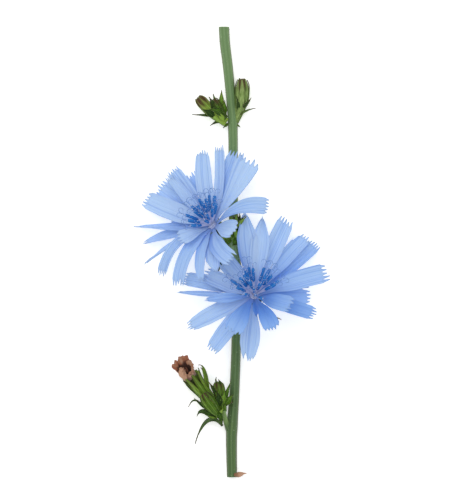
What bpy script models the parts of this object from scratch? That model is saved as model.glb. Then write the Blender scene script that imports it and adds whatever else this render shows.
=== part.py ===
"""Cut chicory stem lying on a table: two open blue flower heads, green buds and one withered head.

The stem's underside is on the plane Z = 0 and the stem runs along Y, its upper end at +Y. The origin is
on the flat underside below the flowers, under the weight. Lists are in millimetres and degrees.
"""
import math
import random
from collections import namedtuple

import bmesh
import bpy
from mathutils import Matrix, Vector

MM = 0.001
UP = Vector((0.0, 0.0, 1.0))
BLADE = 0.6            # thickness of petals, bracts and leaves
SEAT_GAP = 0.3         # clear space between pieces that touch on the plant
SEED = 7

# Stem: points of its middle line as (x, y) and its radius there, from the upper cut to the foot.
STEM_LINE = [
    (-3.0, 58.75, 1.30), (-2.75, 54.5, 1.28), (-2.0, 48.5, 1.24), (-1.15, 39.5, 1.20),
    (-0.75, 32.0, 1.18), (-0.68, 16.0, 1.16), (-0.38, 3.5, 1.18), (0.2, -2.0, 1.18),
    (0.25, -9.5, 1.18), (0.0, -22.0, 1.20), (-0.25, -29.0, 1.22), (-0.5, -34.5, 1.26),
    (-0.88, -39.5, 1.36), (-1.13, -44.5, 1.38), (-1.0, -53.75, 1.26),
]
STEM_RIBS = 8
RIB_DEPTH = 0.07
REST_CUT = 0.12        # how far the stem's underside is flattened

Flower = namedtuple("Flower", "centre axis base")
LEFT_FLOWER = Flower(Vector((-6.0, 9.25, 8.7)), Vector((-0.54, 0.50, 0.68)).normalized(),
                     Vector((-1.5, 3.7, 3.2)))
RIGHT_FLOWER = Flower(Vector((4.5, -8.25, 10.2)), Vector((0.15, 0.43, 0.89)).normalized(),
                      Vector((1.0, -12.6, 3.2)))
DISC_RADIUS = 2.5
DISC_THICK = 0.9
ROOT_RADIUS = 1.6      # where petals are rooted in the disc
ROOT_DEPTH = 0.45      # how far below the top of the disc
TOOTH = 0.9            # length of the five teeth at a petal's tip

# A petal: its heading seen from above, how far it reaches, its width, the heights of its shoulder and
# tip over the table, its sideways bend (anticlockwise is positive), its roll about its own length, how
# far its face turns from the flower's axis to straight up, and how far its tip draws to a point.
Petal = namedtuple("Petal", "heading reach width shoulder tip bend roll level closed", defaults=(0.0,))
LEFT_PETALS = [
    Petal(159.0, 17.8, 4.9, 8.0, 0.9, 0.5, 0, 0.4),
    Petal(143.8, 16.6, 4.2, 5.0, 0.8, 0.0, 0, 0.4),
    Petal(131.9, 16.5, 3.2, 8.5, 3.2, 0.4, 50, 0.0),
    Petal(125.4, 17.2, 3.6, 6.5, 1.6, 0.0, 0, 0.4),
    Petal(114.0, 13.9, 4.0, 5.0, 1.2, 0.0, 0, 0.5),
    Petal(97.4, 18.8, 4.2, 8.5, 3.6, 0.6, 0, 1.0),
    Petal(84.4, 19.9, 2.6, 9.0, 5.0, -0.4, 0, 1.0),
    Petal(70.8, 19.4, 4.4, 7.8, 4.2, 0.0, 15, 0.5),
    Petal(59.0, 19.2, 5.8, 11.0, 7.0, 0.0, 0, 0.9),
    Petal(17.4, 14.9, 4.0, 14.5, 11.5, 3.0, 0, 0.8),
    Petal(-15.0, 6.0, 5.0, 14.0, 19.0, 0.0, 0, 0.2),
    Petal(-59.0, 10.3, 4.0, 14.5, 19.0, -3.0, 0, 0.3),
    Petal(-90.0, 10.6, 3.6, 13.0, 16.5, -0.6, 0, 0.4),
    Petal(-99.5, 14.4, 2.6, 13.5, 15.5, -3.2, 0, 0.5, 0.5),
    Petal(-118.5, 17.2, 3.3, 13.5, 12.0, -4.4, 0, 0.6),
    Petal(-135.0, 17.5, 2.4, 11.0, 8.0, -5.0, 0, 0.8),
    Petal(-150.0, 19.2, 2.6, 8.0, 4.2, -1.0, 60, 0.0),
    Petal(-155.0, 9.2, 5.0, 11.2, 12.2, 0.0, 0, 0.3),
    Petal(181.0, 19.3, 3.2, 7.0, 0.9, 0.8, 30, 0.2, 0.75),
    Petal(-165.7, 17.7, 2.7, 7.0, 1.4, -0.6, 20, 0.2, 0.4),
    Petal(172.0, 10.3, 3.6, 5.0, 2.6, 0.0, 0, 0.5),
]
RIGHT_PETALS = [
    Petal(96.6, 20.6, 5.2, 10.2, 6.4, 0.2, 0, 0.6, 0.75),
    Petal(83.9, 19.6, 4.6, 11.2, 5.6, 0.0, 0, 0.6, 0.75),
    Petal(66.6, 20.8, 4.6, 9.4, 2.6, 0.3, 0, 0.6),
    Petal(48.6, 20.1, 3.8, 8.8, 1.4, 0.6, 0, 0.5),
    Petal(39.4, 20.6, 3.4, 7.0, 0.8, -0.6, 0, 0.5),
    Petal(17.4, 19.1, 4.5, 10.5, 4.4, 1.5, 0, 0.4),
    Petal(0.5, 14.4, 4.8, 8.4, 6.0, 0.0, 0, 0.4),
    Petal(-17.3, 15.8, 3.6, 9.6, 8.8, 0.0, 0, 0.4),
    Petal(-15.9, 9.9, 4.4, 13.5, 16.6, 0.0, 0, 0.3),
    Petal(-58.5, 9.4, 4.6, 15.0, 18.6, 0.4, 0, 0.3),
    Petal(-95.5, 16.5, 5.0, 11.0, 11.6, 0.0, 0, 0.5, 0.5),
    Petal(-121.5, 10.8, 5.0, 15.5, 19.0, -0.3, 0, 0.3),
    Petal(-128.4, 17.1, 3.8, 12.6, 13.2, -0.6, 0, 0.5),
    Petal(-153.3, 18.4, 4.0, 12.4, 11.6, -0.8, 0, 0.4),
    Petal(-174.3, 12.3, 3.2, 13.4, 13.6, 0.0, 20, 0.2),
    Petal(177.6, 19.2, 2.3, 10.6, 8.6, 0.6, 45, 0.0, 0.5),
    Petal(166.9, 18.7, 3.3, 9.8, 7.6, -0.6, 0, 0.5),
    Petal(157.2, 13.6, 3.8, 10.4, 9.0, 0.0, 0, 0.5),
    Petal(133.0, 12.6, 4.6, 9.4, 7.6, 0.0, 0, 0.5),
]

# Where the far ends of the blue anther tubes lie from each flower's middle, across and up the stem.
LEFT_FLORETS = [
    (-6.6, 2.5), (-5.1, -0.2), (-5.1, 4.7), (-3.7, 4.8), (-3.2, 6.5), (-1.5, 6.4), (-0.7, 7.4), (0.7, 7.2),
    (1.1, 5.2), (-1.7, 1.1), (-1.3, 2.5), (-5.9, 1.1), (-2.4, 5.6), (-4.4, 3.4), (0.1, 3.9), (-2.9, 3.4),
]
RIGHT_FLORETS = [
    (-5.8, 3.8), (-4.3, 2.0), (-3.6, 4.3), (-2.2, 6.2), (-1.4, 7.0), (-0.3, 6.7), (-2.6, 5.1), (-1.1, 3.5),
    (2.5, 6.9), (3.9, 6.5), (4.4, 5.0), (2.9, 4.9), (6.1, 3.5), (5.2, 2.7), (-2.4, 0.3), (1.9, -0.7),
    (-0.1, 1.7), (0.4, 0.1), (1.5, 2.9),
]
FLORET_REACH = 7.5     # length of a floret, so how high its far end stands
FLORET_HEIGHTS = (2.2, 6.3)
STYLE_LENGTH = 1.2     # thin end of each floret beyond its tube
ANTHER_RADIUS = 0.36
FLORET_DISC = 1.05     # radius of the small disc that the tubes rise from

CUP_RADIUS = 1.75

# A bract or leaf: the control points of its spine and its greatest width.
Bract = namedtuple("Bract", "spine width")
TOP_LEFT_BRACTS = [
    Bract([(-3.6, 36.6, 2.4), (-3.8, 40.2, 1.6), (-3.75, 43.0, 2.0)], 1.3),
    Bract([(-5.0, 39.2, 3.0), (-5.5, 41.2, 4.2), (-5.8, 42.3, 4.6)], 0.8),
    Bract([(-3.1, 36.0, 3.0), (-4.6, 38.6, 5.6), (-6.4, 38.2, 4.6)], 1.6),
    Bract([(-3.3, 35.8, 2.6), (-7.0, 36.8, 4.2), (-11.0, 36.75, 2.2)], 1.1),
    Bract([(-3.4, 36.0, 3.2), (-6.2, 36.6, 5.4), (-8.2, 37.5, 4.6)], 1.3),
    Bract([(-2.9, 35.4, 1.7), (-4.8, 35.4, 2.6), (-6.5, 33.9, 1.6)], 1.0),
    Bract([(-2.8, 35.4, 2.2), (-2.9, 34.2, 2.9), (-3.4, 33.3, 1.8)], 0.8),
]
TOP_RIGHT_BRACTS = [
    Bract([(1.2, 36.6, 2.4), (2.8, 38.6, 4.0), (3.75, 40.9, 3.2)], 1.0),
    Bract([(1.1, 36.2, 1.8), (3.0, 37.8, 2.9), (5.0, 38.4, 2.0)], 0.8),
    Bract([(0.7, 36.0, 2.8), (0.5, 38.2, 4.4), (0.4, 41.0, 3.8)], 0.9),
]
MIDDLE_BRACTS = [
    Bract([(1.1, 6.2, 4.0), (1.6, 9.6, 5.4), (2.4, 11.8, 4.4)], 1.2),
    Bract([(0.6, 7.2, 4.0), (-1.0, 9.4, 5.2), (-1.6, 12.0, 4.6)], 1.3),
    Bract([(1.0, 5.6, 3.8), (2.4, 6.8, 4.4), (2.8, 8.6, 3.8)], 1.1),
]
LOW_FRONT_BRACTS = [
    Bract([(-5.2, -37.2, 4.4), (-7.6, -36.6, 5.6), (-10.3, -34.1, 4.0)], 1.4),
    Bract([(-5.0, -37.6, 4.2), (-8.6, -34.6, 4.4), (-11.9, -36.2, 1.8)], 0.9),
    Bract([(-4.9, -37.9, 4.0), (-8.8, -35.8, 4.6), (-9.9, -38.7, 1.4)], 1.0),
    Bract([(-4.6, -38.0, 4.6), (-3.4, -38.4, 6.0), (-3.3, -40.9, 4.2)], 1.1),
    Bract([(-5.2, -36.8, 5.0), (-6.6, -34.8, 7.6), (-8.8, -33.9, 6.4)], 1.2),
]
LOW_BACK_BRACTS = [
    Bract([(-3.0, -35.4, 3.6), (-2.4, -33.0, 5.0), (-1.5, -29.9, 3.9)], 1.0),
    Bract([(-2.9, -35.6, 4.0), (-1.9, -34.4, 5.8), (-0.5, -33.0, 4.2)], 1.3),
    Bract([(-3.4, -34.6, 4.6), (-5.0, -32.6, 6.2), (-6.4, -30.1, 5.4)], 1.0),
]
MIDDLE_LEAF = Bract([(-1.7, 2.2, 2.0), (-4.4, 1.4, 3.4), (-4.6, -2.4, 0.8)], 1.5)
LOW_LEAF = Bract([(-4.2, -40.6, 1.4), (-8.0, -38.6, 3.6), (-9.6, -42.0, 1.6), (-10.2, -45.6, 0.6)], 1.5)
FOOT_BRACT = Bract([(0.9, -52.0, 1.4), (1.8, -53.1, 1.9), (3.1, -52.7, 0.8)], 1.6)

# Closed heads: control points of the middle line and the greatest radius.
TOP_LEFT_BUD = ([(-3.0, 35.7, 2.2), (-6.3, 37.2, 3.0), (-9.7, 41.0, 3.4)], 1.35)
TOP_SMALL_BUD = ([(-3.2, 36.2, 2.6), (-4.4, 38.4, 3.4), (-5.9, 41.2, 3.2)], 1.1)
TOP_RIGHT_BUD = ([(1.4, 35.9, 2.0), (1.6, 40.0, 2.5), (1.75, 46.0, 2.3)], 1.6)
MIDDLE_BUD = ([(0.7, 4.7, 2.9), (0.9, 7.6, 4.3), (0.4, 12.0, 4.0)], 1.0)
LOW_FRONT_BUD = ([(-4.7, -38.1, 4.0), (-6.2, -35.9, 6.0), (-8.0, -32.9, 5.6)], 1.4)
LOW_BACK_BUD = ([(-3.15, -36.7, 3.0), (-3.4, -33.5, 4.3), (-4.2, -29.9, 3.8)], 1.4)
SPENT_CUP = ([(-4.9, -36.9, 1.3), (-7.6, -33.2, 1.5), (-10.9, -28.6, 2.8)], 1.35)
SPENT_TOP = Vector((-12.9, -26.0, 3.8))
AXILS = [(-0.9, 34.6, 1.4), (-0.1, 3.2, 1.6), (0.3, -13.2, 1.6)]
SIDE_STALK = ([(-1.4, -41.8, 1.4), (-2.7, -40.2, 1.7), (-3.9, -37.5, 2.4)], 1.05)


def curve_point(controls, t):
    """Point at t on the Bezier curve with these control points."""
    points = [Vector(point) for point in controls]
    while len(points) > 1:
        points = [a.lerp(b, t) for a, b in zip(points, points[1:])]
    return points[0]


def curve_heading(controls, t):
    """Unit tangent at t."""
    return (curve_point(controls, t + 0.01) - curve_point(controls, t - 0.01)).normalized()


def smooth_step(low, high, value):
    """0 below low, 1 above high and a soft ramp between."""
    t = min(max((value - low) / (high - low), 0.0), 1.0)
    return t * t * (3.0 - 2.0 * t)


def make_material(name, red, green, blue, roughness):
    """Principled material from a colour in 0..255 as the photo shows it."""
    material = bpy.data.materials.new(name)
    material.use_nodes = True
    shader = material.node_tree.nodes["Principled BSDF"]
    linear = [(channel / 255.0) ** 2.2 for channel in (red, green, blue)]
    shader.inputs["Base Color"].default_value = (*linear, 1.0)
    shader.inputs["Roughness"].default_value = roughness
    shader.inputs["Metallic"].default_value = 0.0
    material.diffuse_color = (*linear, 1.0)
    return material


def object_from(name, bm):
    """New object from a mesh in millimetres, scaled to metres and linked to nothing yet."""
    for vertex in bm.verts:
        vertex.co *= MM
    mesh = bpy.data.meshes.new(name)
    bm.to_mesh(mesh)
    bm.free()
    return bpy.data.objects.new(name, mesh)


def tube(name, centre_at, radius_at, sides, rings, face_up=UP):
    """Closed tube: centre_at(t) is its middle line and radius_at(t, angle) its outside."""
    bm = bmesh.new()
    bmesh.ops.create_cone(bm, cap_ends=True, segments=sides, radius1=1, radius2=1, depth=1)
    upright = [edge for edge in bm.edges if abs(edge.verts[0].co.z - edge.verts[1].co.z) > 0.5]
    if rings > 1:
        bmesh.ops.subdivide_edges(bm, edges=upright, cuts=rings - 1, use_grid_fill=True)
    for vertex in bm.verts:
        t = vertex.co.z + 0.5
        angle = math.atan2(vertex.co.y, vertex.co.x)
        heading = (centre_at(t + 0.01) - centre_at(t - 0.01)).normalized()
        across = face_up.cross(heading).normalized()
        up = heading.cross(across)
        offset = across * math.cos(angle) + up * math.sin(angle)
        vertex.co = centre_at(t) + offset * radius_at(t, angle)
    bm.normal_update()
    bmesh.ops.recalc_face_normals(bm, faces=bm.faces)
    return object_from(name, bm)


def blade(name, spine, width_at, face, columns, rows, cup=0.0, roll=0.0, tooth=0.0, level=0.0):
    """Thin plate along a Bezier spine, facing roughly towards face and then as far up as level says,
    with teeth if tooth is given.
    """
    bm = bmesh.new()
    bmesh.ops.create_grid(bm, x_segments=columns, y_segments=rows, size=0.5)
    if tooth:
        tip = [edge for edge in bm.edges if min(vertex.co.y for vertex in edge.verts) > 0.499]
        bmesh.ops.subdivide_edges(bm, edges=tip, cuts=1)
    for vertex in bm.verts:
        side, t = 2.0 * vertex.co.x, vertex.co.y + 0.5
        heading = curve_heading(spine, t)
        facing = face.lerp(UP, level * smooth_step(0.1, 0.5, t))
        across = facing.cross(heading).normalized()
        up = heading.cross(across)
        turn = math.radians(roll) * t
        across, up = (across * math.cos(turn) + up * math.sin(turn),
                      up * math.cos(turn) - across * math.sin(turn))
        half = width_at(t) / 2.0
        place = curve_point(spine, t) - across * side * half + up * cup * half * side * side
        if t > 0.999:
            notch = abs((vertex.co.x + 0.5) * columns % 1.0 - 0.5) * 2.0
            place += heading * (tooth * (1.0 - notch - 0.5 * side * side))
        vertex.co = place
    bmesh.ops.triangulate(bm, faces=bm.faces)
    piece = object_from(name, bm)
    thick = piece.modifiers.new("thickness", "SOLIDIFY")
    thick.thickness = BLADE * MM
    thick.offset = 0.0
    thick.use_even_offset = False
    return piece


def apply_modifiers(item):
    """Replace the object's mesh by its evaluated one."""
    graph = bpy.context.evaluated_depsgraph_get()
    mesh = bpy.data.meshes.new_from_object(item.evaluated_get(graph))
    item.modifiers.clear()
    item.data = mesh


def keep_outer_shell(item):
    """Drop the loose scrap and the sealed hollows that joining leaves."""
    bm = bmesh.new()
    bm.from_mesh(item.data)
    waiting = set(bm.faces)
    shells = []
    while waiting:
        stack = [waiting.pop()]
        shell = set(stack)
        while stack:
            face = stack.pop()
            for edge in face.edges:
                for other in edge.link_faces:
                    if other in waiting:
                        waiting.remove(other)
                        shell.add(other)
                        stack.append(other)
        shells.append(shell)
    shells.sort(key=len)
    scrap = [face for shell in shells[:-1] for face in shell]
    bmesh.ops.delete(bm, geom=scrap, context="FACES")
    bm.to_mesh(item.data)
    bm.free()


def fuse(name, pieces, material):
    """One closed body from pieces that overlap, by one union, with its underside on the table."""
    scene = bpy.context.scene
    body = pieces[0]
    group = bpy.data.collections.new(name + "_pieces")
    scene.collection.children.link(group)
    for piece in pieces[1:]:
        group.objects.link(piece)
    part_collection.objects.link(body)
    body.name = name
    body.data.name = name
    if len(pieces) > 1:
        union = body.modifiers.new("union", "BOOLEAN")
        union.operation = "UNION"
        union.operand_type = "COLLECTION"
        union.collection = group
        union.solver = "MANIFOLD"
    cut = body.modifiers.new("table", "BOOLEAN")
    cut.operation = "DIFFERENCE"
    cut.object = table_cut
    cut.solver = "MANIFOLD"
    apply_modifiers(body)
    for piece in pieces[1:]:
        bpy.data.objects.remove(piece)
    bpy.data.collections.remove(group)
    keep_outer_shell(body)
    body.data.materials.clear()
    body.data.materials.append(material)
    body.data.shade_smooth()
    body.data.set_sharp_from_angle(angle=math.radians(40))
    return body


def stem_station(t):
    """Middle (x, y) and radius of the stem at t, smoothly through the listed points."""
    place = min(max(t, 0.0), 1.0) * (len(STEM_LINE) - 1)
    index = min(int(place), len(STEM_LINE) - 2)
    local = place - index
    last = len(STEM_LINE) - 1
    rows = [Vector(STEM_LINE[min(max(index + step, 0), last)]) for step in (-1, 0, 1, 2)]
    a, b, c, d = rows
    value = b * 2.0 + (c - a) * local + (a * 2.0 - b * 5.0 + c * 4.0 - d) * local ** 2
    value += (b * 3.0 - a - c * 3.0 + d) * local ** 3
    return value * 0.5


def stem_centre(t):
    """Middle line, a little lower than the radius, so that the table flattens the underside."""
    station = stem_station(t)
    beyond = min(t, 0.0) + max(t - 1.0, 0.0)
    return Vector((station.x, station.y - 100.0 * beyond, station.z - REST_CUT))


def stem_radius(t, angle):
    """Outside of the stem, with a rib at its underside."""
    return stem_station(t).z - RIB_DEPTH * (0.5 - 0.5 * math.cos(STEM_RIBS * angle))


def build_stem():
    """Ribbed stem with a swelling at each axil and the side stalk of the lower group."""
    stem = tube("stem", stem_centre, stem_radius, 2 * STEM_RIBS, 26)
    controls, radius = SIDE_STALK
    stalk = tube("stalk", lambda t: curve_point(controls, t), lambda t, angle: radius, 12, 3)
    swellings = []
    for place in AXILS:
        foot, head = Vector(place) - Vector((0, 1.6, 0)), Vector(place) + Vector((0, 1.6, 0))
        swellings.append(tube("axil", lambda t, foot=foot, head=head: foot.lerp(head, t),
                              lambda t, angle: 0.5 + 0.85 * math.sin(math.pi * t), 12, 4))
    fuse("stem", [stem, stalk] + swellings, green_stem)


def petal_spine(flower, petal):
    """Control points from the disc's rim over a bent shoulder to the tip."""
    heading = math.radians(petal.heading)
    out = Vector((math.cos(heading), math.sin(heading), 0.0))
    left = Vector((-math.sin(heading), math.cos(heading), 0.0))
    climb = -out.dot(flower.axis) / flower.axis.z
    root = flower.centre + (out + Vector((0, 0, climb))).normalized() * ROOT_RADIUS
    root -= flower.axis * ROOT_DEPTH
    shoulder = flower.centre + out * petal.reach * 0.5 + left * petal.bend
    shoulder.z = petal.shoulder
    tip = flower.centre + out * (petal.reach - TOOTH)
    tip.z = petal.tip
    return [root, shoulder, tip]


def petal_width(width, closed):
    """Strap shape: a third of its width at the root, full from the middle, less at a tip that closes."""
    def width_at(t):
        strap = 0.34 + 0.66 * smooth_step(0.0, 0.55, t) - 0.12 * smooth_step(0.75, 1.0, t)
        return width * strap * (1.0 - 0.85 * closed * smooth_step(0.72, 1.04, t))
    return width_at


def build_petals(name, flower, petals, material):
    low, high = flower.centre - flower.axis * DISC_THICK, flower.centre
    disc = tube("disc", lambda t: low.lerp(high, t), lambda t, angle: DISC_RADIUS, 20, 1)
    pieces = [disc]
    for petal in petals:
        pieces.append(blade("petal", petal_spine(flower, petal), petal_width(petal.width, petal.closed),
                            flower.axis, 5, 4, cup=0.22, roll=petal.roll,
                            tooth=TOOTH * (1.0 - 0.6 * petal.closed), level=petal.level))
    fuse(name, pieces, material)


def build_anthers(name, flower, florets, material):
    """Blue tubes that rise from a small disc to where the photo shows their ends, then thin to a style."""
    axis = flower.axis
    base = flower.centre + axis * (SEAT_GAP + 0.3)
    top = base + axis * 0.8
    pieces = [tube("disc", lambda t: base.lerp(top, t), lambda t, angle: FLORET_DISC, 12, 1)]
    for across, along in florets:
        flat = Vector((across, along, 0.0))
        low, high = FLORET_HEIGHTS
        lift = math.sqrt(max(FLORET_REACH ** 2 - flat.length ** 2, low ** 2))
        root = base + axis * 0.6 + (flat - axis * flat.dot(axis)) * 0.06
        tip = flower.centre + flat + UP * min(lift, high)
        tip += (tip - root).normalized() * STYLE_LENGTH
        controls = [root, root.lerp(tip, 0.5) + UP * 0.5, tip]

        def thickness(t, angle):
            return ANTHER_RADIUS * (0.8 + 0.2 * smooth_step(0.3, 0.45, t) - 0.4 * smooth_step(0.8, 0.95, t))

        pieces.append(tube("anther", lambda t, controls=controls: curve_point(controls, t),
                           thickness, 6, 3, face_up=UP.cross(flat).normalized()))
    fuse(name, pieces, material)


def bract_width(width):
    """Lance shape: narrow root, widest at a third, a fine tip."""
    return lambda t: width * (0.55 + 0.45 * smooth_step(0.0, 0.35, t) - 0.72 * smooth_step(0.4, 1.0, t))


def bract_blade(bract, face=UP):
    return blade("bract", bract.spine, bract_width(bract.width), face, 2, 5, cup=0.35)


def head_shape(radius, ribs, narrow=0.62, tip=0.35):
    """Outside of a closed head: narrow base, fullest at two thirds, folded bracts as ribs."""
    def radius_at(t, angle):
        full = narrow + (1.0 - narrow) * smooth_step(0.0, 0.6, t)
        full -= (1.0 - tip) * smooth_step(0.72, 1.02, t)
        fold = 1.0 - 0.10 * (0.5 - 0.5 * math.cos(ribs * angle))
        return radius * full * fold
    return radius_at


def closed_head(spec, rings=7):
    controls, radius = spec
    return tube("head", lambda t: curve_point(controls, t), head_shape(radius, 8), 16, rings)


def build_head(name, heads, bracts, material):
    """Closed heads fused at their base with the small bracts around them."""
    pieces = [closed_head(spec) for spec in heads]
    pieces += [bract_blade(bract) for bract in bracts]
    fuse(name, pieces, material)


def build_cup(name, controls, radius, material, outer=5, inner=8, spread=1.0):
    """Vase of bracts below an open head: inner ones close and long, outer ones short and spreading."""
    def profile(t, angle):
        fold = 1.0 - 0.08 * (0.5 - 0.5 * math.cos(inner * angle))
        return radius * (0.55 + 0.45 * smooth_step(0.0, 0.3, t)) * fold
    pieces = [tube("cup", lambda t: curve_point(controls, t), profile, 16, 6)]
    for index in range(outer):
        turn = 2.0 * math.pi * (index + 0.3) / outer
        heading = curve_heading(controls, 0.1)
        side = UP.cross(heading).normalized()
        outward = side * math.cos(turn) + heading.cross(side) * math.sin(turn)
        root = curve_point(controls, 0.12) + outward * radius * 0.45
        middle = curve_point(controls, 0.36) + outward * radius * 1.55 * spread
        tip = curve_point(controls, 0.52) + outward * radius * 1.35 * spread
        pieces.append(blade("bract", [root, middle, tip], bract_width(1.9), outward, 2, 4, cup=-0.3))
    fuse(name, pieces, material)


def flower_cup_line(flower):
    """From the axil up to just under the disc, where it meets it along the flower's axis."""
    top = flower.centre - flower.axis * (DISC_THICK + SEAT_GAP)
    return [flower.base, top - flower.axis * 4.0, top]


def build_spent_petals():
    """Withered corolla: a crumpled tube of folded petals with a frayed mouth."""
    draw = random.Random(SEED + 4)
    start = curve_point(SPENT_CUP[0], 1.0)
    axis = (SPENT_TOP - start).normalized()
    base = start + axis * SEAT_GAP
    side = UP.cross(axis).normalized()
    up = axis.cross(side)

    def crumpled(t, angle):
        return 1.15 + 0.85 * smooth_step(0.1, 0.9, t) + 0.22 * math.sin(5 * angle + 3 * t)

    pieces = [tube("spent_core", lambda t: base.lerp(SPENT_TOP, t * 0.8), crumpled, 15, 4)]
    for index in range(6):
        turn = 2.0 * math.pi * index / 6 + draw.uniform(-0.25, 0.25)
        outward = side * math.cos(turn) + up * math.sin(turn)
        root = base + axis * 0.6 + outward * 0.9
        middle = SPENT_TOP + outward * draw.uniform(2.0, 2.7)
        tip = SPENT_TOP + axis * draw.uniform(0.6, 1.6) + outward * draw.uniform(1.3, 2.4)
        pieces.append(blade("spent_petal", [root, middle, tip], lambda t: 1.5 + 0.9 * t, outward,
                            3, 3, cup=draw.uniform(-0.5, 0.3), roll=draw.uniform(-40, 40), tooth=0.4))
    fuse("spent_petals", pieces, withered)


def build_single(name, bract, material, columns=4, rows=8):
    piece = blade(name, bract.spine, bract_width(bract.width), UP, columns, rows, cup=0.35)
    fuse(name, [piece], material)


for item in list(bpy.data.objects):
    bpy.data.objects.remove(item)

part_collection = bpy.data.collections.new("chicory_stem")
cutters = bpy.data.collections.new("cutters")
bpy.context.scene.collection.children.link(part_collection)
bpy.context.scene.collection.children.link(cutters)

green_stem = make_material("green_stem", 100, 128, 84, 0.6)
green_bract = make_material("green_bract", 92, 122, 48, 0.6)
green_cup = make_material("green_cup", 84, 116, 52, 0.6)
petal_blue = make_material("petal_blue", 158, 190, 240, 0.55)
anther_blue = make_material("anther_blue", 40, 105, 178, 0.5)
withered = make_material("withered", 150, 108, 84, 0.8)

bpy.ops.mesh.primitive_cube_add(size=1.0, location=(0, 0, -0.01))
table_cut = bpy.context.object
table_cut.name = "table_cut"
table_cut.data.transform(Matrix.Diagonal((0.2, 0.2, 0.02, 1.0)))
table_cut.hide_render = True
table_cut.display_type = "WIRE"
for holder in list(table_cut.users_collection):
    holder.objects.unlink(table_cut)
cutters.objects.link(table_cut)

build_stem()
build_head("top_buds_left", [TOP_LEFT_BUD, TOP_SMALL_BUD], TOP_LEFT_BRACTS, green_bract)
build_head("top_bud_right", [TOP_RIGHT_BUD], TOP_RIGHT_BRACTS, green_bract)
build_head("middle_bud", [MIDDLE_BUD], MIDDLE_BRACTS, green_bract)
build_head("low_bud_front", [LOW_FRONT_BUD], LOW_FRONT_BRACTS, green_bract)
build_head("low_bud_back", [LOW_BACK_BUD], LOW_BACK_BRACTS, green_bract)
build_cup("left_flower_cup", flower_cup_line(LEFT_FLOWER), CUP_RADIUS, green_cup)
build_cup("right_flower_cup", flower_cup_line(RIGHT_FLOWER), CUP_RADIUS, green_cup)
build_cup("spent_cup", SPENT_CUP[0], SPENT_CUP[1], green_cup, spread=0.8)
build_petals("left_flower_petals", LEFT_FLOWER, LEFT_PETALS, petal_blue)
build_petals("right_flower_petals", RIGHT_FLOWER, RIGHT_PETALS, petal_blue)
build_anthers("left_flower_anthers", LEFT_FLOWER, LEFT_FLORETS, anther_blue)
build_anthers("right_flower_anthers", RIGHT_FLOWER, RIGHT_FLORETS, anther_blue)
build_spent_petals()
build_single("middle_leaf", MIDDLE_LEAF, green_bract)
build_single("low_leaf", LOW_LEAF, green_bract)
build_single("foot_bract", FOOT_BRACT, withered, 2, 4)
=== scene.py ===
"""Looks of the cut chicory stem: toothed petals, anther tubes and styles, ribbed stem, bracts and buds.

The stem lies on the floor along Y, its upper end at +Y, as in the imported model. Lists are in millimetres
and degrees; a finished mesh is turned into metres once, when its object is made.
"""
import math
import random
from collections import namedtuple

import bmesh
import bpy
from mathutils import Matrix, Vector, noise


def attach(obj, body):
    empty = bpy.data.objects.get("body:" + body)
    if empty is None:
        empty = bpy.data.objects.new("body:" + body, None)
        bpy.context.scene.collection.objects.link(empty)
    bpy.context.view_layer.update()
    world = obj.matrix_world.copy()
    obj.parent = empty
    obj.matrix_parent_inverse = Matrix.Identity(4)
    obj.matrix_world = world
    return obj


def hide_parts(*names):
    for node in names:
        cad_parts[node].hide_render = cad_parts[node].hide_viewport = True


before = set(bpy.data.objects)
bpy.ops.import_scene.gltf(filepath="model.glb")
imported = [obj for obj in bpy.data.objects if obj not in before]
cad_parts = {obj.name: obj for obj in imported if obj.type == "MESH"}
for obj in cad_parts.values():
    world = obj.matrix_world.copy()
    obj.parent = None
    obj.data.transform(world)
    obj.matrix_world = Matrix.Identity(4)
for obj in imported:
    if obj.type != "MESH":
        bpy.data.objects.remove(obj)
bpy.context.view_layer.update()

MM = 0.001
UP = Vector((0.0, 0.0, 1.0))

# Stem: points of its middle line as (x, y) and its radius there, from the upper cut to the foot.
STEM_LINE = [
    (-3.0, 58.75, 1.30), (-2.75, 54.5, 1.28), (-2.0, 48.5, 1.24), (-1.15, 39.5, 1.20),
    (-0.75, 32.0, 1.18), (-0.68, 16.0, 1.16), (-0.38, 3.5, 1.18), (0.2, -2.0, 1.18),
    (0.25, -9.5, 1.18), (0.0, -22.0, 1.20), (-0.25, -29.0, 1.22), (-0.5, -34.5, 1.26),
    (-0.88, -39.5, 1.36), (-1.13, -44.5, 1.38), (-1.0, -53.75, 1.26),
]
STEM_RIBS = 8
REST_CUT = 0.12

Flower = namedtuple("Flower", "centre axis base")
LEFT_FLOWER = Flower(Vector((-6.0, 9.25, 8.7)), Vector((-0.54, 0.50, 0.68)).normalized(),
                     Vector((-1.5, 3.7, 3.2)))
RIGHT_FLOWER = Flower(Vector((4.5, -8.25, 10.2)), Vector((0.15, 0.43, 0.89)).normalized(),
                      Vector((1.0, -12.6, 3.2)))
ROOT_RADIUS = 0.9
PETAL_THICK = 0.12
TEETH = 5
TOOTH = 1.55

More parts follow.
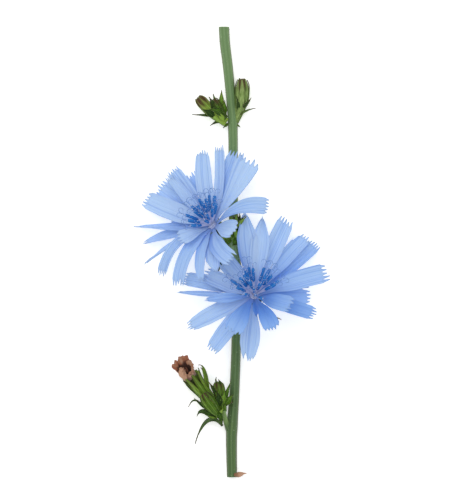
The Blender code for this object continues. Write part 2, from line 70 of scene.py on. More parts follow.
# A petal: heading from above, reach, width, heights of shoulder and tip, sideways bend, roll,
# how far its face turns from the flower's axis to straight up, depth of blue from 0 pale to 1 deep
# as painted light and shade for the light each petal lies in, how far its tip draws to a point, where
# along it the full width starts, the slope of its tip, the side with painted deep blue fold shade, and a
# torn notch as (side, depth).
PETAL_FIELDS = "heading reach width shoulder tip bend roll level tone closed full slant fold notch"
Petal = namedtuple("Petal", PETAL_FIELDS, defaults=(0.0, 0.60, 0.0, 0.0, (0.0, 0.0)))
LEFT_PETALS = [
    Petal(159.0, 18.0, 4.9, 8.0, 0.9, 0.5, 0, 0.4, 0.10, 0.15, full=0.5),
    Petal(143.8, 16.6, 4.2, 5.0, 0.8, 0.0, 0, 0.4, 0.15, full=0.5),
    Petal(131.9, 16.5, 3.2, 8.5, 3.2, 0.4, 50, 0.0, 0.30),
    Petal(125.4, 17.2, 3.7, 6.5, 1.6, 0.0, 0, 0.4, 0.10, 0.1, fold=-0.7),
    Petal(114.0, 13.9, 4.0, 5.0, 1.2, 0.0, 0, 0.5, 0.50, full=0.5),
    Petal(97.1, 18.9, 4.1, 8.5, 3.6, 1.4, 0, 1.0, 0.08, 0.30, full=0.42),
    Petal(84.9, 19.9, 2.4, 9.0, 5.0, -1.6, 0, 1.0, 0.12, full=0.40),
    Petal(70.8, 19.6, 4.4, 7.8, 4.2, 0.0, 15, 0.5, 0.45, notch=(0.2, 1.3)),
    Petal(60.0, 19.2, 6.2, 11.0, 7.0, -0.5, 0, 0.9, 0.10, full=0.95, fold=-0.5),
    Petal(17.3, 15.0, 4.2, 14.5, 11.5, 4.2, 0, 0.8, 0.40, full=0.85, fold=0.5),
    Petal(-15.0, 6.0, 5.2, 14.0, 19.0, 0.0, 0, 0.2, 0.25, full=0.8, slant=0.3),
    Petal(-59.0, 10.3, 4.3, 14.5, 19.0, -3.0, 0, 0.3, 0.40, full=0.5, fold=1.0, notch=(-0.6, 0.8)),
    Petal(-84.0, 11.9, 4.3, 13.0, 16.5, -0.9, 0, 0.4, 0.35, 0.85, full=0.5, fold=0.6),
    Petal(-99.5, 14.6, 2.6, 13.5, 15.5, -3.2, 0, 0.5, 0.50, 0.5, full=0.32, fold=0.9, notch=(0.0, 1.6)),
    Petal(-118.5, 17.4, 3.3, 13.5, 12.0, -4.4, 0, 0.6, 0.50, full=0.36, fold=0.6, notch=(-0.2, 0.8)),
    Petal(-134.6, 17.9, 2.4, 11.0, 8.0, -6.2, 0, 0.8, 0.40, full=0.36),
    Petal(-150.0, 19.2, 2.9, 8.0, 4.2, -1.2, 52, 0.0, 0.35, full=0.4),
    Petal(-155.0, 9.2, 4.6, 11.2, 12.2, 0.0, 0, 0.3, 0.20, full=0.92),
    Petal(181.0, 19.4, 3.3, 7.0, 0.9, 0.6, 66, 0.2, 0.50, 0.1, full=0.4, notch=(0.0, 1.6)),
    Petal(-165.7, 17.9, 2.9, 7.0, 1.4, -0.6, 20, 0.2, 0.40, 0.5, full=0.45, notch=(0.0, 1.4)),
    Petal(172.0, 10.3, 3.6, 5.0, 2.6, 0.0, 0, 0.5, 0.50),
]
RIGHT_PETALS = [
    Petal(96.6, 20.9, 5.2, 10.2, 6.4, 0.2, 0, 0.6, 0.08, 0.85, full=0.55, fold=-0.9),
    Petal(83.9, 19.7, 4.7, 11.2, 5.6, 0.0, 0, 0.6, 0.08, 0.95),
    Petal(66.6, 20.8, 4.6, 9.4, 2.6, 0.3, 0, 0.6, 0.35, 0.1, fold=-0.4, slant=-0.5),
    Petal(48.6, 20.2, 3.8, 8.8, 1.4, 0.6, 0, 0.5, 0.60, fold=0.5, notch=(-0.85, 3.4)),
    Petal(39.4, 20.6, 3.4, 7.0, 0.8, -0.6, 0, 0.5, 0.80, fold=0.7),
    Petal(16.8, 19.4, 4.9, 10.5, 4.4, 0.9, 0, 0.4, 0.60, fold=-0.5, slant=-0.4),
    Petal(0.5, 14.5, 4.8, 8.4, 6.0, 0.0, 0, 0.4, 0.90, notch=(-0.6, 0.9)),
    Petal(-17.3, 16.0, 3.6, 9.6, 8.8, 0.0, 0, 0.4, 1.10, slant=-0.3),
    Petal(-15.9, 9.9, 4.4, 13.5, 16.6, 0.0, 0, 0.3, 0.90, notch=(0.0, 0.7)),
    Petal(-62.0, 9.8, 4.4, 15.0, 18.6, 0.6, 0, 0.3, 1.15, full=0.75, slant=0.4, fold=0.4),
    Petal(-95.5, 16.9, 4.9, 11.0, 11.6, 0.0, 0, 0.5, 0.02, 0.5, notch=(0.4, 2.2)),
    Petal(-84.0, 5.4, 1.4, 12.6, 13.6, 0.0, 0, 0.4, 1.60, 0.9, full=0.4),
    Petal(-121.5, 10.8, 4.9, 15.5, 19.0, -0.3, 0, 0.3, 0.95, full=0.75, fold=-0.6),
    Petal(-127.8, 17.6, 4.2, 12.6, 13.2, -0.4, 0, 0.5, 0.40, 0.2, full=0.42, slant=-0.3),
    Petal(-153.6, 18.6, 4.1, 12.4, 11.6, -1.0, 0, 0.4, 0.15, 0.35, full=0.42),
    Petal(-174.3, 12.3, 2.8, 13.4, 13.6, 0.0, 20, 0.2, 0.75, 0.6),
    Petal(177.6, 19.2, 2.3, 10.6, 8.6, 0.6, 45, 0.0, 0.45, 0.3),
    Petal(166.9, 18.7, 3.4, 9.8, 7.6, -0.6, 0, 0.5, 0.30, fold=0.4),
    Petal(157.2, 13.6, 4.2, 10.8, 9.4, 0.0, 0, 0.5, 0.15, full=0.5),
    Petal(130.5, 11.8, 4.6, 9.8, 8.0, 0.0, 0, 0.5, 0.05, full=0.5),
]

# A bract or leaf: the control points of its spine, its greatest width, how brown its tip is, and
# its green from -1 dark to 1 pale, partly its own green and partly painted shade among the bracts.
Bract = namedtuple("Bract", "spine width brown shade", defaults=(0.3, 0.0))
TOP_LEFT_BRACTS = [
    Bract([(-3.4, 38.0, 2.2), (-3.9, 40.4, 2.4), (-3.5, 41.2, 2.8), (-3.63, 43.0, 2.4)], 1.2, 0.7, 0.4),
    Bract([(-2.7, 37.0, 2.2), (-3.1, 38.6, 3.4), (-2.8, 40.4, 2.8)], 1.3, 0.5, -0.1),
    Bract([(-4.9, 39.2, 3.0), (-5.5, 41.2, 3.8), (-5.75, 42.0, 4.2)], 0.4, 0.9, -0.2),
    Bract([(-5.2, 37.4, 3.6), (-5.4, 39.4, 4.8), (-6.8, 41.2, 4.4)], 1.5, 0.5, -0.9),
    Bract([(-4.2, 37.4, 3.8), (-4.4, 39.2, 4.6), (-4.6, 40.0, 4.2)], 1.0, 1.0, -0.6),
    Bract([(-3.1, 36.4, 3.2), (-4.6, 38.2, 5.4), (-6.6, 38.1, 4.8)], 1.4, 0.1, -0.5),
    Bract([(-5.6, 36.3, 4.0), (-6.6, 37.4, 5.0), (-8.3, 38.0, 4.4)], 1.5, 0.1, -1.0),
    Bract([(-5.2, 36.4, 3.0), (-7.8, 36.7, 3.6), (-11.0, 36.8, 2.2)], 0.6, 0.9, -0.7),
    Bract([(-2.5, 35.0, 2.2), (-3.9, 35.4, 3.0), (-5.2, 35.1, 2.6), (-6.5, 34.0, 1.6)], 0.9, 0.4, -0.8),
    Bract([(-2.0, 34.6, 1.9), (-2.6, 34.0, 2.4), (-3.2, 33.5, 1.8)], 0.6, 0.8, -0.4),
    Bract([(-3.2, 35.2, 3.2), (-3.6, 36.6, 4.0), (-5.2, 37.3, 4.2)], 1.3, 0.1, 0.9),
]
TOP_RIGHT_BRACTS = [
    Bract([(1.9, 38.6, 2.8), (2.7, 39.4, 3.8), (3.8, 41.0, 3.2)], 0.75, 1.0, -0.9),
    Bract([(1.2, 36.8, 2.0), (2.4, 38.0, 2.8), (4.9, 38.4, 2.0)], 0.45, 0.9, -0.3),
    Bract([(0.5, 37.8, 2.2), (0.8, 39.2, 3.4), (0.0, 41.4, 2.9)], 0.9, 0.1, -1.0),
    Bract([(-0.1, 34.6, 1.2), (0.6, 34.0, 1.6), (1.1, 33.7, 1.1)], 0.4, 0.6, -0.2),
]
MIDDLE_BRACTS = [
    Bract([(0.2, 8.9, 6.4), (1.3, 10.1, 8.6), (2.6, 11.4, 9.1)], 0.85, 0.7, 1.6),
    Bract([(0.0, 9.0, 6.6), (1.0, 10.4, 8.5), (2.4, 11.7, 9.0)], 0.32, 1.5, -0.9),
    Bract([(0.3, 7.4, 5.4), (0.8, 8.8, 6.6), (1.8, 10.4, 6.4)], 2.0, 0.1, -1.0),
    Bract([(0.5, 5.6, 5.6), (-0.2, 7.4, 6.8), (-0.6, 9.2, 6.2)], 1.1, 0.1, 1.0),
    Bract([(0.3, 6.9, 5.4), (0.6, 6.0, 6.0), (1.15, 4.6, 5.6)], 1.2, 0.1, -1.0),
    Bract([(-0.1, 6.3, 5.4), (-1.6, 5.6, 6.2), (-2.2, 3.5, 5.2)], 3.6, 0.4, -0.1),
    Bract([(-0.4, 6.6, 5.0), (-2.0, 6.4, 5.8), (-4.2, 6.2, 5.0)], 1.3, 0.1, -1.0),
    Bract([(0.1, 8.6, 4.4), (-0.8, 10.4, 5.2), (-1.9, 12.2, 4.6)], 1.0, 1.4, 0.5),
    Bract([(0.2, 8.8, 4.6), (0.0, 10.8, 5.6), (0.1, 12.8, 5.0)], 0.7, 1.2, 1.0),
    Bract([(0.6, 8.6, 4.6), (1.0, 10.4, 5.4), (0.9, 12.2, 5.0)], 0.9, 0.6, -1.0),
    Bract([(-0.8, 8.2, 3.8), (-1.6, 9.6, 4.6), (-1.4, 11.6, 4.6)], 0.9, 1.4, -0.6),
]
LOW_FRONT_BRACTS = [
    Bract([(-5.6, -36.4, 4.6), (-8.0, -36.4, 5.4), (-10.4, -34.0, 4.0)], 1.3, 0.2, -1.0),
    Bract([(-8.4, -35.5, 4.2), (-10.4, -33.8, 4.0), (-11.0, -34.4, 2.6), (-11.9, -36.2, 1.8)],
          0.35, 0.9, -0.6),
    Bract([(-5.0, -38.5, 4.0), (-8.0, -37.0, 5.0), (-9.2, -36.6, 3.8), (-9.8, -38.6, 1.6)], 1.2, 0.3, -0.8),
    Bract([(-4.4, -37.6, 5.0), (-3.8, -38.4, 6.0), (-3.4, -40.9, 4.4)], 1.3, 0.2, -0.7),
    Bract([(-4.7, -38.6, 3.8), (-4.0, -38.0, 5.2), (-3.2, -36.4, 4.8)], 1.5, 0.1, 0.9),
    Bract([(-4.6, -38.6, 3.6), (-6.4, -38.4, 4.4), (-8.2, -37.7, 3.4)], 1.2, 0.1, 0.6),
    Bract([(-4.2, -35.8, 4.6), (-4.0, -34.0, 6.0), (-4.8, -32.2, 5.4)], 1.6, 0.2, -1.0),
    Bract([(-5.0, -36.6, 5.2), (-6.4, -34.8, 7.6), (-8.0, -33.3, 7.0)], 1.4, 0.8, 0.3),
]
LOW_BACK_BRACTS = [
    Bract([(-2.9, -35.0, 3.8), (-2.4, -32.6, 5.0), (-1.3, -29.7, 3.9)], 1.0, 0.2, -0.3),
    Bract([(-2.6, -35.6, 4.2), (-1.8, -34.2, 5.8), (-0.7, -33.0, 4.6)], 1.6, 0.3, -0.3),
    Bract([(-2.9, -35.3, 4.0), (-1.9, -35.2, 5.0), (-0.7, -34.9, 4.2)], 0.7, 1.0, -0.4),
    Bract([(-3.4, -35.4, 4.8), (-3.0, -33.8, 6.0), (-2.9, -32.3, 5.2)], 1.4, 0.1, 0.2),
    Bract([(-4.6, -33.6, 4.6), (-5.6, -31.6, 5.6), (-6.8, -29.9, 5.0)], 0.9, 0.9, -1.0),
    Bract([(-4.6, -30.6, 4.4), (-5.3, -29.6, 4.8), (-4.9, -28.7, 4.4)], 0.35, 0.9, -0.6),
    Bract([(-3.9, -30.8, 4.6), (-3.9, -30.0, 5.2), (-4.4, -29.2, 4.8)], 0.7, 1.0, -0.8),
]
SPENT_BRACTS = [
    Bract([(-6.6, -32.4, 2.8), (-7.4, -28.2, 3.8), (-7.9, -25.2, 4.4), (-9.4, -25.7, 3.8)], 0.6, 1.3, 0.3),
    Bract([(-7.2, -31.4, 3.2), (-7.9, -28.0, 4.2), (-8.2, -26.2, 4.4), (-8.9, -26.4, 3.8)], 0.55, 1.3, 0.2),
    Bract([(-9.0, -33.8, 2.2), (-12.2, -30.4, 2.2), (-13.2, -28.9, 2.6), (-13.7, -28.4, 3.4)],
          1.0, 0.3, -0.6),
]
# The middle blade's pale shade is partly painted light, against the shade it lies in.
MIDDLE_BLADE = Bract([(-0.5, 5.8, 5.4), (-1.2, 2.4, 7.0), (1.0, -2.9, 5.8)], 2.5, 0.3, 0.7)
MIDDLE_LEAF = Bract([(-1.6, 3.4, 2.0), (-3.7, 2.4, 3.2), (-4.5, -3.0, 0.8)], 2.6, 0.1, -0.9)
LOW_LEAF = Bract([(-3.4, -40.9, 1.8), (-6.2, -37.0, 3.6), (-8.9, -40.4, 2.2), (-10.2, -45.4, 0.5)],
                 1.0, 0.5, -0.5)
FOOT_BRACT = Bract([(-0.5, -53.1, 2.2), (0.9, -53.2, 2.6), (1.4, -52.8, 1.0), (2.6, -52.8, 0.4)], 1.2, 0.1)
SPREAD_BRACT = Bract([(3.2, -11.2, 6.6), (7.4, -12.8, 7.4), (11.3, -14.3, 6.2)], 1.0, 1.2, -0.7)

# Closed heads: control points of the middle line, greatest radius, width of the base as a share of
# it, where the tip starts to round off, the green, and how brown the tip is.
Head = namedtuple("Head", "line radius base round shade brown", defaults=(0.55, 0.74, 0.0, 0.8))
TOP_LEFT_BUD = Head([(-2.6, 34.9, 2.0), (-6.0, 37.2, 3.0), (-9.5, 41.0, 3.6)], 1.45, 0.7, 0.84, 0.6, 1.0)
TOP_SMALL_BUD = Head([(-2.8, 35.9, 2.4), (-4.4, 38.2, 3.4), (-5.7, 40.6, 3.4)], 1.15, 0.6, 0.74, -0.5)
TOP_RIGHT_BUD = Head([(-0.2, 34.9, 0.9), (2.05, 40.0, 1.6), (1.45, 45.7, 2.4)], 1.75, 0.36, 0.80, 0.2, 0.28)
MIDDLE_BUD = Head([(0.4, 4.2, 2.6), (0.7, 7.6, 3.9), (-0.2, 11.4, 3.8)], 0.9, 0.55, 0.7, -0.4)
LOW_FRONT_BUD = Head([(-4.3, -38.2, 3.2), (-6.1, -35.9, 6.0), (-8.1, -32.8, 5.6)],
                     1.65, 0.5, 0.74, -0.15, 0.25)
LOW_BACK_BUD = Head([(-3.3, -37.2, 2.6), (-3.8, -33.5, 4.3), (-4.6, -30.0, 3.8)], 1.45, 0.6, 0.80, -0.2, 0.5)
SPENT_CUP = Head([(-4.3, -37.3, 1.7), (-7.6, -33.2, 1.7), (-10.9, -28.6, 2.8)], 1.5)
STEM_NODES = [34.6, 3.2, -13.2, -41.0]      # heights where the stem is a little swollen
SIDE_STALK = ([(-1.5, -43.2, 1.4), (-2.6, -39.9, 2.1), (-3.2, -37.0, 3.2)], 0.68)

# Where the far ends of the blue anther tubes lie from each flower's middle, across and up the stem.
LEFT_FLORETS = [
    (-6.6, 2.5), (-5.1, -0.2), (-5.1, 4.7), (-3.7, 4.8), (-3.2, 6.5), (-1.5, 6.4), (-0.7, 7.4), (0.7, 7.2),
    (1.1, 5.2), (-1.7, 1.1), (-1.3, 2.5), (-5.9, 1.1), (-2.4, 5.6), (-4.4, 3.4), (0.1, 3.9), (-2.9, 3.4),
]
RIGHT_FLORETS = [
    (-5.8, 3.8), (-4.3, 2.0), (-3.6, 4.3), (-2.2, 6.2), (-1.4, 7.0), (-0.3, 6.7), (-2.6, 5.1), (-1.1, 3.5),
    (2.5, 6.9), (3.9, 6.5), (4.4, 5.0), (2.9, 4.9), (6.1, 3.5), (5.2, 2.7), (-2.4, 0.3), (1.9, -0.7),
    (-0.1, 1.7), (0.4, 0.1), (1.5, 2.9),
]

CUP_RADIUS = 1.75
MARKS = ("along", "across", "tone", "pick", "shade")


def curve_point(controls, t):
    """Point at t on the Bezier curve with these control points."""
    points = [Vector(point) for point in controls]
    while len(points) > 1:
        points = [a.lerp(b, t) for a, b in zip(points, points[1:])]
    return points[0]


def curve_heading(controls, t):
    """Unit tangent at t."""
    return (curve_point(controls, t + 0.01) - curve_point(controls, t - 0.01)).normalized()


def spine_length(controls):
    """Length along the control points, a little more than the curve's own."""
    points = [Vector(point) for point in controls]
    return sum((b - a).length for a, b in zip(points, points[1:]))


def smooth_step(low, high, value):
    """0 below low, 1 above high and a soft ramp between."""
    t = min(max((value - low) / (high - low), 0.0), 1.0)
    return t * t * (3.0 - 2.0 * t)


def ripple(x, y, z):
    """Smooth noise from -1 to 1."""
    return noise.noise(Vector((x, y, z)))


def new_form():
    """Empty mesh whose vertices carry the marks that the materials read."""
    bm = bmesh.new()
    for name in MARKS:
        bm.verts.layers.float.new(name)
    return bm


def set_marks(bm, vertex, *values):
    layers = bm.verts.layers.float
    for name, value in zip(MARKS, values):
        vertex[layers[name]] = value


def finish_piece(name, bm, material, nodes, thickness=0.0, rounds=0):
    """Object from a mesh in millimetres, riding on the part and standing for the named nodes."""
    for vertex in bm.verts:
        vertex.co *= MM
    bm.normal_update()
    mesh = bpy.data.meshes.new(name)
    bm.to_mesh(mesh)
    bm.free()
    mesh.shade_smooth()
    piece = bpy.data.objects.new(name, mesh)
    bpy.context.scene.collection.objects.link(piece)
    mesh.materials.append(material)
    if thickness:
        wall = piece.modifiers.new("thickness", "SOLIDIFY")
        wall.thickness = thickness * MM
        wall.offset = 0.0
    if rounds:
        soften = piece.modifiers.new("rounding", "SUBSURF")
        soften.levels = rounds
        soften.render_levels = rounds
    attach(piece, "root")
    if nodes:
        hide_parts(*nodes)
    return piece


def rod(bm, centre_at, radius_at, sides, rings, tone=0.0, pick=0.0, face_up=UP, shade=0.0):
    """Closed tube round centre_at(t) with the outside radius_at(t, angle)."""
    made = bmesh.ops.create_cone(bm, cap_ends=True, segments=sides, radius1=1, radius2=1, depth=1)
    verts = made["verts"]
    upright = {edge for vertex in verts for edge in vertex.link_edges
               if abs(edge.verts[0].co.z - edge.verts[1].co.z) > 0.5}
    if rings > 1:
        cut = bmesh.ops.subdivide_edges(bm, edges=list(upright), cuts=rings - 1, use_grid_fill=True)
        verts = {item for item in cut["geom_inner"] if isinstance(item, bmesh.types.BMVert)}
        verts |= {vertex for edge in cut["geom"] if isinstance(edge, bmesh.types.BMEdge)
                  for vertex in edge.verts}
    for vertex in verts:
        t = vertex.co.z + 0.5
        angle = math.atan2(vertex.co.y, vertex.co.x)
        heading = (centre_at(t + 0.01) - centre_at(t - 0.01)).normalized()
        across = face_up.cross(heading).normalized()
        up = heading.cross(across)
        set_marks(bm, vertex, t, angle / math.pi, tone, pick, shade)
        vertex.co = centre_at(t) + (across * math.cos(angle) + up * math.sin(angle)) * radius_at(t, angle)


def plate(bm, place_at, columns, rows, tone=0.0, pick=0.0, shade=0.0):
    """Open sheet laid where place_at(side, t) says, with side from -1 to 1 and t from 0 to 1."""
    made = bmesh.ops.create_grid(bm, x_segments=columns, y_segments=rows, size=0.5)
    for vertex in made["verts"]:
        side, t = 2.0 * vertex.co.x, vertex.co.y + 0.5
        set_marks(bm, vertex, t, side, tone, pick, shade)
        vertex.co = place_at(side, t)


def tooth_profile(side, count=TEETH):
    """1 at the point of each tooth and 0 in the narrow notch between two."""
    away = abs(2.0 * ((side + 1.0) * 0.5 * count % 1.0) - 1.0)
    return 1.0 - smooth_step(0.10, 0.95, away)


def petal_spine(flower, petal):
    """Control points from the disc's rim over a bent shoulder to the tip."""
    heading = math.radians(petal.heading)
    out = Vector((math.cos(heading), math.sin(heading), 0.0))
    left = Vector((-math.sin(heading), math.cos(heading), 0.0))
    climb = -out.dot(flower.axis) / flower.axis.z
    root = flower.centre + (out + Vector((0, 0, climb))).normalized() * ROOT_RADIUS - flower.axis * 0.4
    shoulder = flower.centre + out * petal.reach * 0.5 + left * petal.bend
    shoulder.z = petal.shoulder
    tip = flower.centre + out * petal.reach
    tip.z = petal.tip
    return [root, shoulder, tip]


def add_petal(bm, flower, petal, draw):
    """Strap petal with five narrow teeth, shallow folds along its veins and a slightly wavy rim."""
    spine = petal_spine(flower, petal)
    pick = draw.random()
    wave = draw.uniform(0.10, 0.24)
    cup = draw.uniform(0.10, 0.26)
    crease = draw.uniform(0.05, 0.16)
    length = spine_length(spine)
    tooth_length = TOOTH * (1.0 - 0.6 * petal.closed) * draw.uniform(0.75, 1.1)
    tooth_length *= min(1.0, petal.reach / 14.0)
    uneven = [draw.uniform(-0.40, 0.30) for _ in range(TEETH)]
    tip_round = draw.uniform(0.1, 0.5) + 1.2 * petal.closed
    torn_side, torn = petal.notch

    def place(side, t):
        tooth = min(int((side + 1.0) * 0.5 * TEETH), TEETH - 1)
        crown = tooth_profile(side) * (1.0 + uneven[tooth]) - tip_round * side * side
        cut = petal.slant * side - torn * math.exp(-((side - torn_side) / 0.13) ** 2)
        pull = ((crown - 1.0) * tooth_length + cut) / length
        t = t + pull * smooth_step(0.78 - 0.04 * torn, 1.0, t)
        heading = curve_heading(spine, t)
        facing = flower.axis.lerp(UP, petal.level * smooth_step(0.05, 0.4, t))
        across = facing.cross(heading).normalized()
        up = heading.cross(across)
        turn = math.radians(petal.roll) * t
        across, up = (across * math.cos(turn) + up * math.sin(turn),
                      up * math.cos(turn) - across * math.sin(turn))
        width = 0.20 + 0.80 * smooth_step(0.0, petal.full, t) - 0.08 * smooth_step(0.88, 1.0, t)
        width *= petal.width
        width *= 1.0 - 0.95 * petal.closed * max(0.0, (t - 0.70) / 0.30)
        half = width / 2.0
        fold = 0.035 * math.cos(math.pi * TEETH * (side + 1.0)) * smooth_step(0.05, 0.5, t)
        fold += crease * math.cos(1.6 * math.pi * (side + pick)) * smooth_step(0.0, 0.4, t)
        edge = wave * side ** 3 * math.sin(7.0 * t + 9.0 * pick) * smooth_step(0.2, 0.8, t)
        lift = cup * half * side * side + fold + edge + 0.25 * ripple(3.0 * t, side, 9.0 * pick)
        return curve_point(spine, t) - across * side * half + up * lift

    # Tone and fold go to the tone and shade marks: painted light and shade, and the side with fold shade.
    plate(bm, place, 6 * TEETH, 24, petal.tone, pick, petal.fold)


def make_petals(name, flower, petals, material, seed):
    draw = random.Random(seed)
    bm = new_form()
    for petal in petals:
        add_petal(bm, flower, petal, draw)
    return finish_piece(name, bm, material, [name], thickness=PETAL_THICK)


def add_style_branch(bm, start, heading, way, draw):
    """One of the two thin style arms, curling back on itself and open to above."""
    size = draw.uniform(0.45, 0.72)
    level = UP.cross(heading).normalized()
    over = heading.cross(level)
    tilt = draw.uniform(-0.5, 0.5)
    sweep = math.radians(draw.uniform(210, 300))

    def centre_at(t):
        turn = t * sweep
        bent = level * way * math.cos(tilt) + over * math.sin(tilt)
        return start + heading * size * (math.sin(turn) + 0.5 * t) + bent * size * (1.0 - math.cos(turn))

    rod(bm, centre_at, lambda t, angle: 0.065 * (1.0 - 0.3 * t), 5, 14, 1.0, draw.random(), over)


def make_florets(prefix, flower, spots, seed):
    """Filaments, dark blue anther tubes, thin curled styles and white pollen of one head."""
    draw = random.Random(seed)
    tubes, styles, pollen = new_form(), new_form(), new_form()
    for across, along in spots:
        flat = Vector((across, along, 0.0))
        crosswise = UP.cross(flat).normalized()
        lift = math.sqrt(max(7.5 ** 2 - flat.length ** 2, 2.2 ** 2))
        root = flower.centre + flat * 0.10
        tip = flower.centre + flat + UP * min(lift, 6.3)
        controls = [root, root.lerp(tip, 0.5) + UP * 0.5, tip]
        pick = draw.random()
        thick = draw.uniform(0.35, 0.43)

        def tube_radius(t, angle):
            body = 0.12 + (thick - 0.12) * smooth_step(0.44, 0.52, t) - 0.10 * smooth_step(0.92, 1.0, t)
            return body * (1.0 + 0.14 * math.cos(5 * angle) * smooth_step(0.5, 0.6, t))

        rod(tubes, lambda t: curve_point(controls, t), tube_radius, 20, 18, 0.0, pick, crosswise)
        heading = curve_heading(controls, 1.0)
        neck = tip + heading * draw.uniform(0.7, 2.0)
        rod(styles, lambda t: (tip - heading * 0.3).lerp(neck, t), lambda t, angle: 0.08, 6, 3,
            1.0, pick, crosswise)
        for way in (1.0, -1.0):
            add_style_branch(styles, neck, heading, way, draw)
        around = heading.cross(crosswise)
        for side in (-1.0, 1.0):
            off = crosswise * side * draw.uniform(0.30, 0.48) + UP * draw.uniform(-0.3, 0.1)
            end = draw.uniform(0.50, 0.86)
            rod(tubes, lambda t: curve_point(controls, t * end) + off * t, lambda t, angle: 0.12 - 0.04 * t,
                7, 6, 1.0, draw.random(), crosswise)
        for _ in range(14):
            place = draw.uniform(0.60, 1.20)
            turn = draw.uniform(0.0, 2.0 * math.pi)
            radius = thick + 0.03 if place < 1.0 else 0.12
            centre = curve_point(controls, min(place, 1.0)) + heading * max(place - 1.0, 0.0) * 7.0
            centre += (crosswise * math.cos(turn) + around * math.sin(turn)) * radius
            grain = bmesh.ops.create_icosphere(pollen, subdivisions=1, radius=draw.uniform(0.05, 0.10))
            bmesh.ops.translate(pollen, verts=grain["verts"], vec=centre)
    finish_piece(prefix + "_tubes", tubes, anther_look, [prefix + "_anthers"])
    finish_piece(prefix + "_styles", styles, style_look, [])
    finish_piece(prefix + "_pollen", pollen, pollen_look, [])


def make_receptacle(prefix, flower, material):
    """Low dome of packed floret bases that the petals and tubes rise from."""
    draw = random.Random(5)
    bm = new_form()
    low, high = flower.centre - flower.axis * 1.3, flower.centre + flower.axis * 0.1
    rod(bm, lambda t: low.lerp(high, t), lambda t, angle: 1.4 - 0.9 * smooth_step(0.45, 1.0, t), 24, 6)
    side = UP.cross(flower.axis).normalized()
    up = flower.axis.cross(side)
    for index in range(24):
        turn = index * 2.39996
        share = math.sqrt((index + 0.5) / 24)
        outward = side * math.cos(turn) + up * math.sin(turn)
        root = flower.centre + outward * 0.75 * share - flower.axis * 0.2
        lean = 0.7 * share
        tip = root + (flower.axis * math.cos(lean) + outward * math.sin(lean)) * draw.uniform(0.5, 1.0)
        rod(bm, lambda t, root=root, tip=tip: root.lerp(tip, t),
            lambda t, angle: 0.15 * (1.0 - 0.3 * t), 6, 3, 0.0, draw.random(), outward)
    return finish_piece(prefix + "_throat", bm, material, [])


def bract_width(width, t, root=0.5, fullest=0.32):
    """Lance shape: narrow root, widest at a third, a fine tip."""
    grow = root + (1.0 - root) * smooth_step(0.0, fullest, t)
    return width * grow * (1.0 - smooth_step(fullest, 1.0, t)) ** 0.8 + 0.06


def add_bract(bm, bract, face=UP, columns=8, rows=18, curl=0.35, pick=0.0):
    """Pointed bract with a raised midrib and rims that turn up."""
    spine = bract.spine

    def place(side, t):
        heading = curve_heading(spine, t)
        across = face.cross(heading).normalized()
        up = heading.cross(across)
        half = bract_width(bract.width, t) / 2.0
        rib = -0.06 * math.exp(-(side / 0.22) ** 2) * (1.0 - t)
        lift = curl * half * side * side + rib + 0.08 * ripple(5.0 * t, 2.0 * side, 11.0 * pick)
        return curve_point(spine, t) - across * side * half + up * lift

    plate(bm, place, columns, rows, bract.brown, pick, bract.shade)
    add_rim_hairs(green_hairs, place, hair_draw, spine_length(spine))


def add_rim_hairs(hairs, place, draw, length, spacing=0.9):
    """Short stiff hairs along both rims of a bract of this length."""
    count = max(2, round(length / spacing))
    for index in range(2 * count):
        side = 1.0 if index % 2 else -1.0
        t = 0.08 + 0.84 * (index + draw.random()) / (2 * count)
        root = place(side, t)
        outward = (root - place(0.8 * side, t)).normalized()
        forward = (place(side, t + 0.03) - root).normalized()
        way = outward + forward * 0.5 + UP * draw.uniform(-0.3, 0.5)
        add_hair(hairs, root, way, draw.uniform(0.16, 0.36))


def add_hair(hairs, root, way, length, thick=0.035):
    """One tapering three-sided hair."""
    way = way.normalized()
    turn = way.to_track_quat("Z", "Y").to_matrix().to_4x4()
    place = Matrix.Translation(root + way * (length * 0.5 - 0.03)) @ turn
    made = bmesh.ops.create_cone(hairs, cap_ends=True, segments=3, radius1=thick, radius2=0.008,
                                 depth=length, matrix=place)
    for vertex in made["verts"]:
        set_marks(hairs, vertex, (vertex.co - root).length / length, 0.0, 0.0, length)


def head_radius(head, t):
    """Outline of a closed head: narrow base, fullest past the middle, rounded off at the tip."""
    full = head.base + (1.0 - head.base) * smooth_step(0.0, 0.62, t)
    closing = min(max((t - head.round) / (1.03 - head.round), 0.0), 1.0)
    return head.radius * full * math.sqrt(1.0 - 0.92 * closing * closing)


def wrap_bract(bm, line, radius_of, turn, half_angle, low, high, tone, pick, shade, flare=0.0,
               stand=0.07):
    """Bract that lies on a head, from low to high along it, its tip standing off by flare."""
    def place(side, t):
        at = low + (high - low) * t
        narrow = (1.0 - smooth_step(0.5, 1.03, t)) ** 0.6
        angle = turn + half_angle * side * (0.25 + 0.75 * narrow)
        heading = curve_heading(line, at)
        across = UP.cross(heading).normalized()
        up = heading.cross(across)
        ridge = 0.10 * math.exp(-(side / 0.3) ** 2) + 0.05 * side * side
        off = radius_of(at) + stand + ridge + flare * t ** 4
        off += 0.05 * ripple(4.0 * t, side, 9.0 * pick)
        return curve_point(line, at) + (across * math.cos(angle) + up * math.sin(angle)) * off

    plate(bm, place, 8, 18, tone, pick, shade)


def add_closed_head(bm, core, head, draw, inner=8):
    """Closed head: a core and the folded bracts round it, in two layers."""
    radius_of = lambda t: head_radius(head, t) * 0.90
    rod(core, lambda t: curve_point(head.line, t), lambda t, angle: head_radius(head, t) * 0.88, 24, 14,
        0.8, shade=head.shade - 0.4)
    start = draw.uniform(0.0, 1.0)
    for index in range(inner):
        turn = 2.0 * math.pi * (index + start) / inner
        wrap_bract(bm, head.line, radius_of, turn, 1.3 * math.pi / inner, 0.0, draw.uniform(0.97, 1.02),
                   head.brown * draw.uniform(0.6, 1.2), draw.random(), head.shade + draw.uniform(-0.3, 0.3),
                   stand=0.04 + 0.08 * (index % 2))


